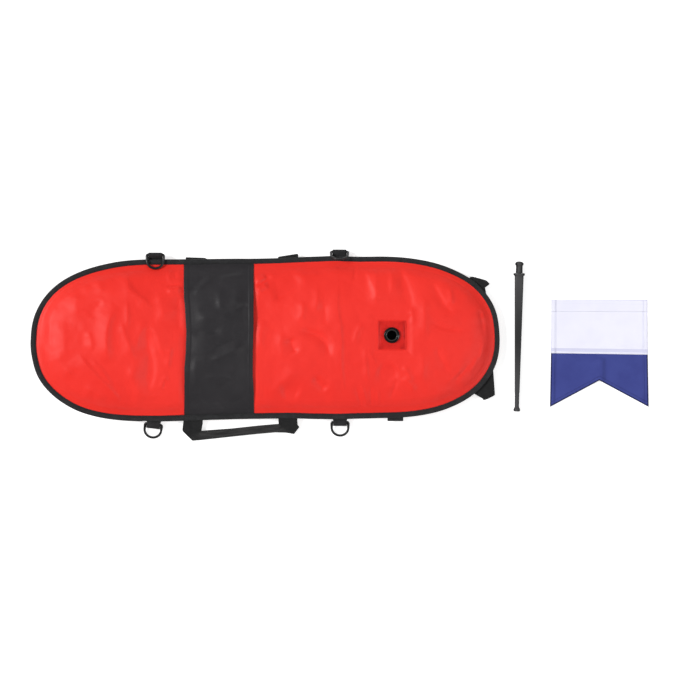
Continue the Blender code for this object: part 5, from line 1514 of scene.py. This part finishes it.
def makeMast():
    gap = mast["gap"]
    (headR, headL), (neckR, neckL), (collarR, collarL) = mast["head"], mast["neck"], mast["collar"]
    topR, endR, shaftL = mast["shaft"]
    (capR, capL), (footR, footL), (spigotR, spigotL) = mast["cap"], mast["foot"], mast["spigot"]
    collarAt = headL + neckL + gap
    shaftAt = collarAt + collarL
    capAt = shaftAt + shaftL
    length = capAt + capL
    collarMiddle = collarAt + collarL / 2
    tilt = math.asin((collarR - footR) / (length - collarMiddle - footL / 4))
    lean = math.asin((mast["footX"] - mast["plug"][0]) / length)
    height = collarR * math.cos(tilt) + (collarMiddle + collarL / 2) * math.sin(tilt)
    place = Matrix.Translation((*mast["plug"], height)) @ Matrix.Rotation(lean, 4, "Z")
    place = place @ Matrix.Rotation(math.pi / 2 + tilt, 4, "X")

    def fluted(radius, z, angle):
        if not headL < z < headL + neckL or radius <= spigotR:
            return radius
        depth = 0.05 * ease(np.minimum(z - headL, headL + neckL - z) / (2.5 * mm))
        return radius * (1 - depth * (0.5 - 0.5 * math.cos(8 * angle)) ** 0.7)

    def squared(radius, z, angle):
        if not shaftAt + 0.2 * mm < z < capAt:
            return radius
        n = mast["squareness"]
        square = (abs(math.cos(angle)) ** n + abs(math.sin(angle)) ** n) ** (-1 / n)
        return radius * (1 + (square - 1) * float(ease((z - shaftAt) / (4 * mm))))

    plug = [(0, 0)]
    for angle in np.linspace(0.15, math.pi / 2, 12):
        plug.append((headR * math.sin(angle), headL * 0.57 * (1 - math.cos(angle))))
    plug += [(headR, headL * 0.7), (headR * 0.96, headL * 0.85), (headR * 0.84, headL * 0.98)]
    plug.append((neckR, headL * 1.06))
    plug += ringsOf(neckR, headL, neckL, [
        (0.99, 0.15), (0.98, 0.3), (0.985, 0.5), (1, 0.72), (1.01, 0.95), (1, 1),
    ])
    plug += [(spigotR, headL + neckL), (spigotR, headL + neckL + spigotL), (0, headL + neckL + spigotL)]
    settle(turned("mastPlug", plug, "mastHead", place, fluted), "mast", "mast", "mast_plug")

    bore, boreEnd, tenon = spigotR + gap, headL + neckL + spigotL + gap, endR - 2 * gap
    shaft = [(0, boreEnd), (bore, boreEnd), (bore, collarAt)]
    shaft += ringsOf(collarR, collarAt, collarL, [
        (0.9, 0), (0.97, 0.04), (1, 0.16), (1, 0.5), (1, 0.84), (0.97, 0.96), (0.9, 1),
    ])
    shaft += [(topR * 1.05, shaftAt), (topR, shaftAt + 0.8 * mm)]
    for share in np.linspace(0.02, 0.95, 29):
        shaft.append((between(topR, endR, share), shaftAt + shaftL * share))
    rib = endR + (topR - endR) * mast["step"] / shaftL
    ribAt = capAt - mast["step"]
    shaft += [(rib, ribAt), (rib + 0.12 * mm, ribAt + 0.5 * mm)]
    shaft += [(rib - 0.3 * mm, ribAt + 1.1 * mm), (rib - 0.35 * mm, ribAt + 2 * mm)]
    shaft += [(endR - 0.2 * mm, capAt - gap), (tenon, capAt - gap)]
    shaft += [(tenon, capAt + spigotL), (0, capAt + spigotL)]
    settle(turned("mastShaft", shaft, "mast", place, squared), "mast", "mast", "mast_shaft")

    bore, boreEnd = tenon + gap, capAt + spigotL + gap
    cap = [(0, boreEnd), (bore, boreEnd), (bore, capAt)]
    cap += ringsOf(capR, capAt, capL - footL, [
        (0.97, 0), (0.995, 0.02), (1, 0.06), (0.99, 0.4), (0.97, 0.75), (0.96, 0.95),
    ])
    cap += ringsOf(footR, length - footL, footL, [
        (0.66, 0.1), (0.7, 0.22), (0.8, 0.34), (0.92, 0.46), (0.99, 0.6),
        (1, 0.74), (0.96, 0.86), (0.86, 0.95), (0.72, 1), (0, 1),
    ])
    settle(turned("mastEndCap", cap, "mast", place), "mast", "mast", "mast_end_cap")


# Flag

flag = {
    "x": 628.5 * mm, "top": 73.3 * mm, "seam": -29 * mm, "tip": -128.6 * mm, "notch": -78.8 * mm,
    "topWidth": 180.5 * mm, "seamWidth": 182 * mm, "tipWidth": 185.5 * mm,
    "wall": 0.6 * mm, "lap": 8 * mm, "hem": 8 * mm, "hemRise": 0.3 * mm, "tailHem": 7.2 * mm,
    "sleeve": 23 * mm, "sleeveRise": 2.4 * mm, "gap": 0.3 * mm, "seamSlope": 1.35 * mm,
    "foldX": 633.5 * mm, "foldRise": 4.2 * mm, "foldWidths": (14 * mm, 4 * mm),  # left and right of its crest
}


def flagHalf(y):
    above = (flag["top"] - y) / (flag["top"] - flag["seam"])
    below = (flag["seam"] - y) / (flag["seam"] - flag["tip"])
    upper = between(flag["topWidth"], flag["seamWidth"], above)
    lower = between(flag["seamWidth"], flag["tipWidth"], below)
    return np.where(y > flag["seam"], upper, lower) / 2


def flagLift(x, y):  # how far the cloth ripples up off the floor
    waves = 0.9 * mm * (1 + softNoise(x, y * 0.6, 42 * mm, 71))
    waves = waves + 0.35 * mm * (1 + softNoise(x, y, 15 * mm, 72))
    away = x - flag["foldX"]
    fold = flag["foldRise"] * hump(away, np.where(away < 0, *flag["foldWidths"]))
    fold = fold * ease((flag["seam"] - y) / (14 * mm))
    return waves * 0.8 + fold


def seamAt(u):  # the seam runs down a little from left to right
    return flag["seam"] - flag["seamSlope"] * u


def flagColumns():  # even steps across, with closer ones at the edges of the side hems
    hem = flag["hem"] / (flag["topWidth"] / 2)
    edge = np.array([0, 0.006, hem * 0.5, hem - 0.012, hem, hem + 0.008, hem + 0.03])
    middle = np.linspace(hem + 0.06 - 1, 1 - hem - 0.06, 47)
    return np.concatenate([edge - 1, middle, 1 - edge[::-1]])[None, :], hem


def makeWhitePanel():
    wall, floor, gap = flag["wall"], flag["wall"] / 2, flag["gap"]
    u, hem = flagColumns()
    doubled = flag["hemRise"] * (np.abs(u) > 1 - hem - 0.004)
    lapEnd = flag["seam"] + flag["lap"]
    r, sleeveEnd = flag["sleeveRise"] / 2, flag["top"] - flag["sleeve"] + wall / 2
    turn = flag["top"] - wall / 2 - r
    line = [(flag["seam"], 1), (flag["seam"] + 2.5 * mm, 1), (lapEnd - 2 * mm, 1)]
    line += [(lapEnd + 1 * mm, 0.95), (lapEnd + 4 * mm, 0)]
    line = [(y, floor + (wall + gap) * over, over) for y, over in line]
    line += [(y, floor, 0) for y in np.linspace(lapEnd + 7 * mm, turn, 34)]
    for step in range(1, 9):
        angle = math.pi * step / 9 - math.pi / 2
        out, up = math.cos(angle), math.sin(angle)
        line.append((turn + r * out, floor + r + r * up, 0.5 + 0.5 * up))
    for step in range(17):
        share = step / 16
        sunk = (2 * r - wall - gap) * float(ease(share))
        line.append((between(turn, sleeveEnd, share), floor + 2 * r - sunk, 1))
    line = np.array(line)
    y = line[:, :1] + (seamAt(u) - flag["seam"]) * (1 - ease((line[:, :1] - flag["seam"]) / (25 * mm)))
    x = flag["x"] + u * flagHalf(line[:, :1])
    single = ease((flag["top"] - flag["sleeve"] - 2 * mm - y) / (24 * mm))  # 0 where the sleeve doubles it
    lift = flagLift(x, y) * single * (line[:, 2:] < 1) * ease((y - lapEnd) / (10 * mm))
    z = line[:, 1:2] + doubled * (0.5 + line[:, 2:]) + lift
    grid = np.stack([x, y, z], 2)
    uv = np.stack([flagHalf(line[:, :1]) * (1 - np.abs(u)) + 0 * y, y - seamAt(u)], 2)
    panel = clothStrip("flagWhitePanel", grid[::-1], wall + doubled + 0 * y, "flagWhite", uv[::-1])
    settle(panel, "flag", "flag_white", "flag_white_panel")
    sleeveY = flag["top"] - flag["sleeve"]
    shown = np.arange(len(line))[(line[:, 2] == 1) | (y[:, 0] < sleeveY - 1 * mm)]
    up = np.array([0, 0, wall / 2 + 0.25 * mm])
    low, high = shown[y[shown, 0] < sleeveY], shown[y[shown, 0] >= sleeveY][:-1]
    lines = [grid[rows, column] + up for rows in (low, high) for column in (3, u.size - 4)]
    lines += [grid[row, 1:-1] + up for row in (1, 2)]
    stitches = sewn("whiteStitches", lines, "whiteThread", 3 * mm, 2.2 * mm, 0.35 * mm)
    return panel, settle(stitches, "flag", "flag_white")


def makeBluePanel():
    wall, floor = flag["wall"], flag["wall"] / 2
    u, hem = flagColumns()
    v = np.concatenate([np.linspace(0, 0.9, 38), [0.915, 0.93, 0.95, 0.97, 0.985, 1]])[:, None]
    lapEnd = seamAt(u) + flag["lap"]
    end = flag["notch"] + (flag["tip"] - flag["notch"]) * np.abs(u)
    y = lapEnd + (end - lapEnd) * v
    x = flag["x"] + u * flagHalf(y)
    slope = math.atan2(flag["notch"] - flag["tip"], flag["tipWidth"] / 2)
    fromTails = (y - end) * math.cos(slope)
    doubled = flag["hemRise"] * np.maximum(np.abs(u) > 1 - hem - 0.004, fromTails < flag["tailHem"])
    z = floor + doubled / 2 + flagLift(x, y) * ease((seamAt(u) - y) / (14 * mm))
    grid = np.stack([x, y, z], 2)
    uv = np.stack([flagHalf(y) * (1 - np.abs(u)), fromTails], 2)
    panel = clothStrip("flagBluePanel", grid, wall + doubled, "flagBlue", uv)
    settle(panel, "flag", "flag_blue", "flag_blue_panel")
    up = np.array([0, 0, wall / 2 + 0.4 * mm])
    below = np.where((y < seamAt(u) - 3 * mm).all(1))[0]
    lines = [grid[below, column] + up for column in (3, u.size - 4)]
    inTails = np.abs(fromTails - 6.4 * mm).argmin(0)
    lines.append([grid[inTails[column], column] + up for column in range(2, u.size - 2)])
    stitches = sewn("blueStitches", lines, "blueThread", 3 * mm, 2.2 * mm, 0.35 * mm)
    return panel, settle(stitches, "flag", "flag_blue")


# What is inside the float keeps its solid shape and gets a finish

def dressInside():
    for node, finish in (("air_bladder", "bladder"), ("valve_base", "valve"), ("valve_flap", "flap")):
        frame["nodes"][node].data.materials.clear()
        frame["nodes"][node].data.materials.append(finishes[finish])


cover, below = makeCoverTop(), makeCoverBottom()
print("cover is wrinkled")
binding, bindingStitches = makeBinding()
bandPiece, bandStitches = makeBand()
print("edge is bound and the cargo band is on")
valvePatch = makePatch()
makeValve()
for title in ringPlaces:
    makeRing(title)
    makeLoop(title)
print("valve, loops and rings are in")
makeNearHandle()
for title in foldedHandles:
    makeFoldedHandle(title)
makeStub()
print("handles are sewn on")
makeMast()
white, whiteStitches = makeWhitePanel()
blue, blueStitches = makeBluePanel()
print("mast and flag lie beside the float")
dressInside()
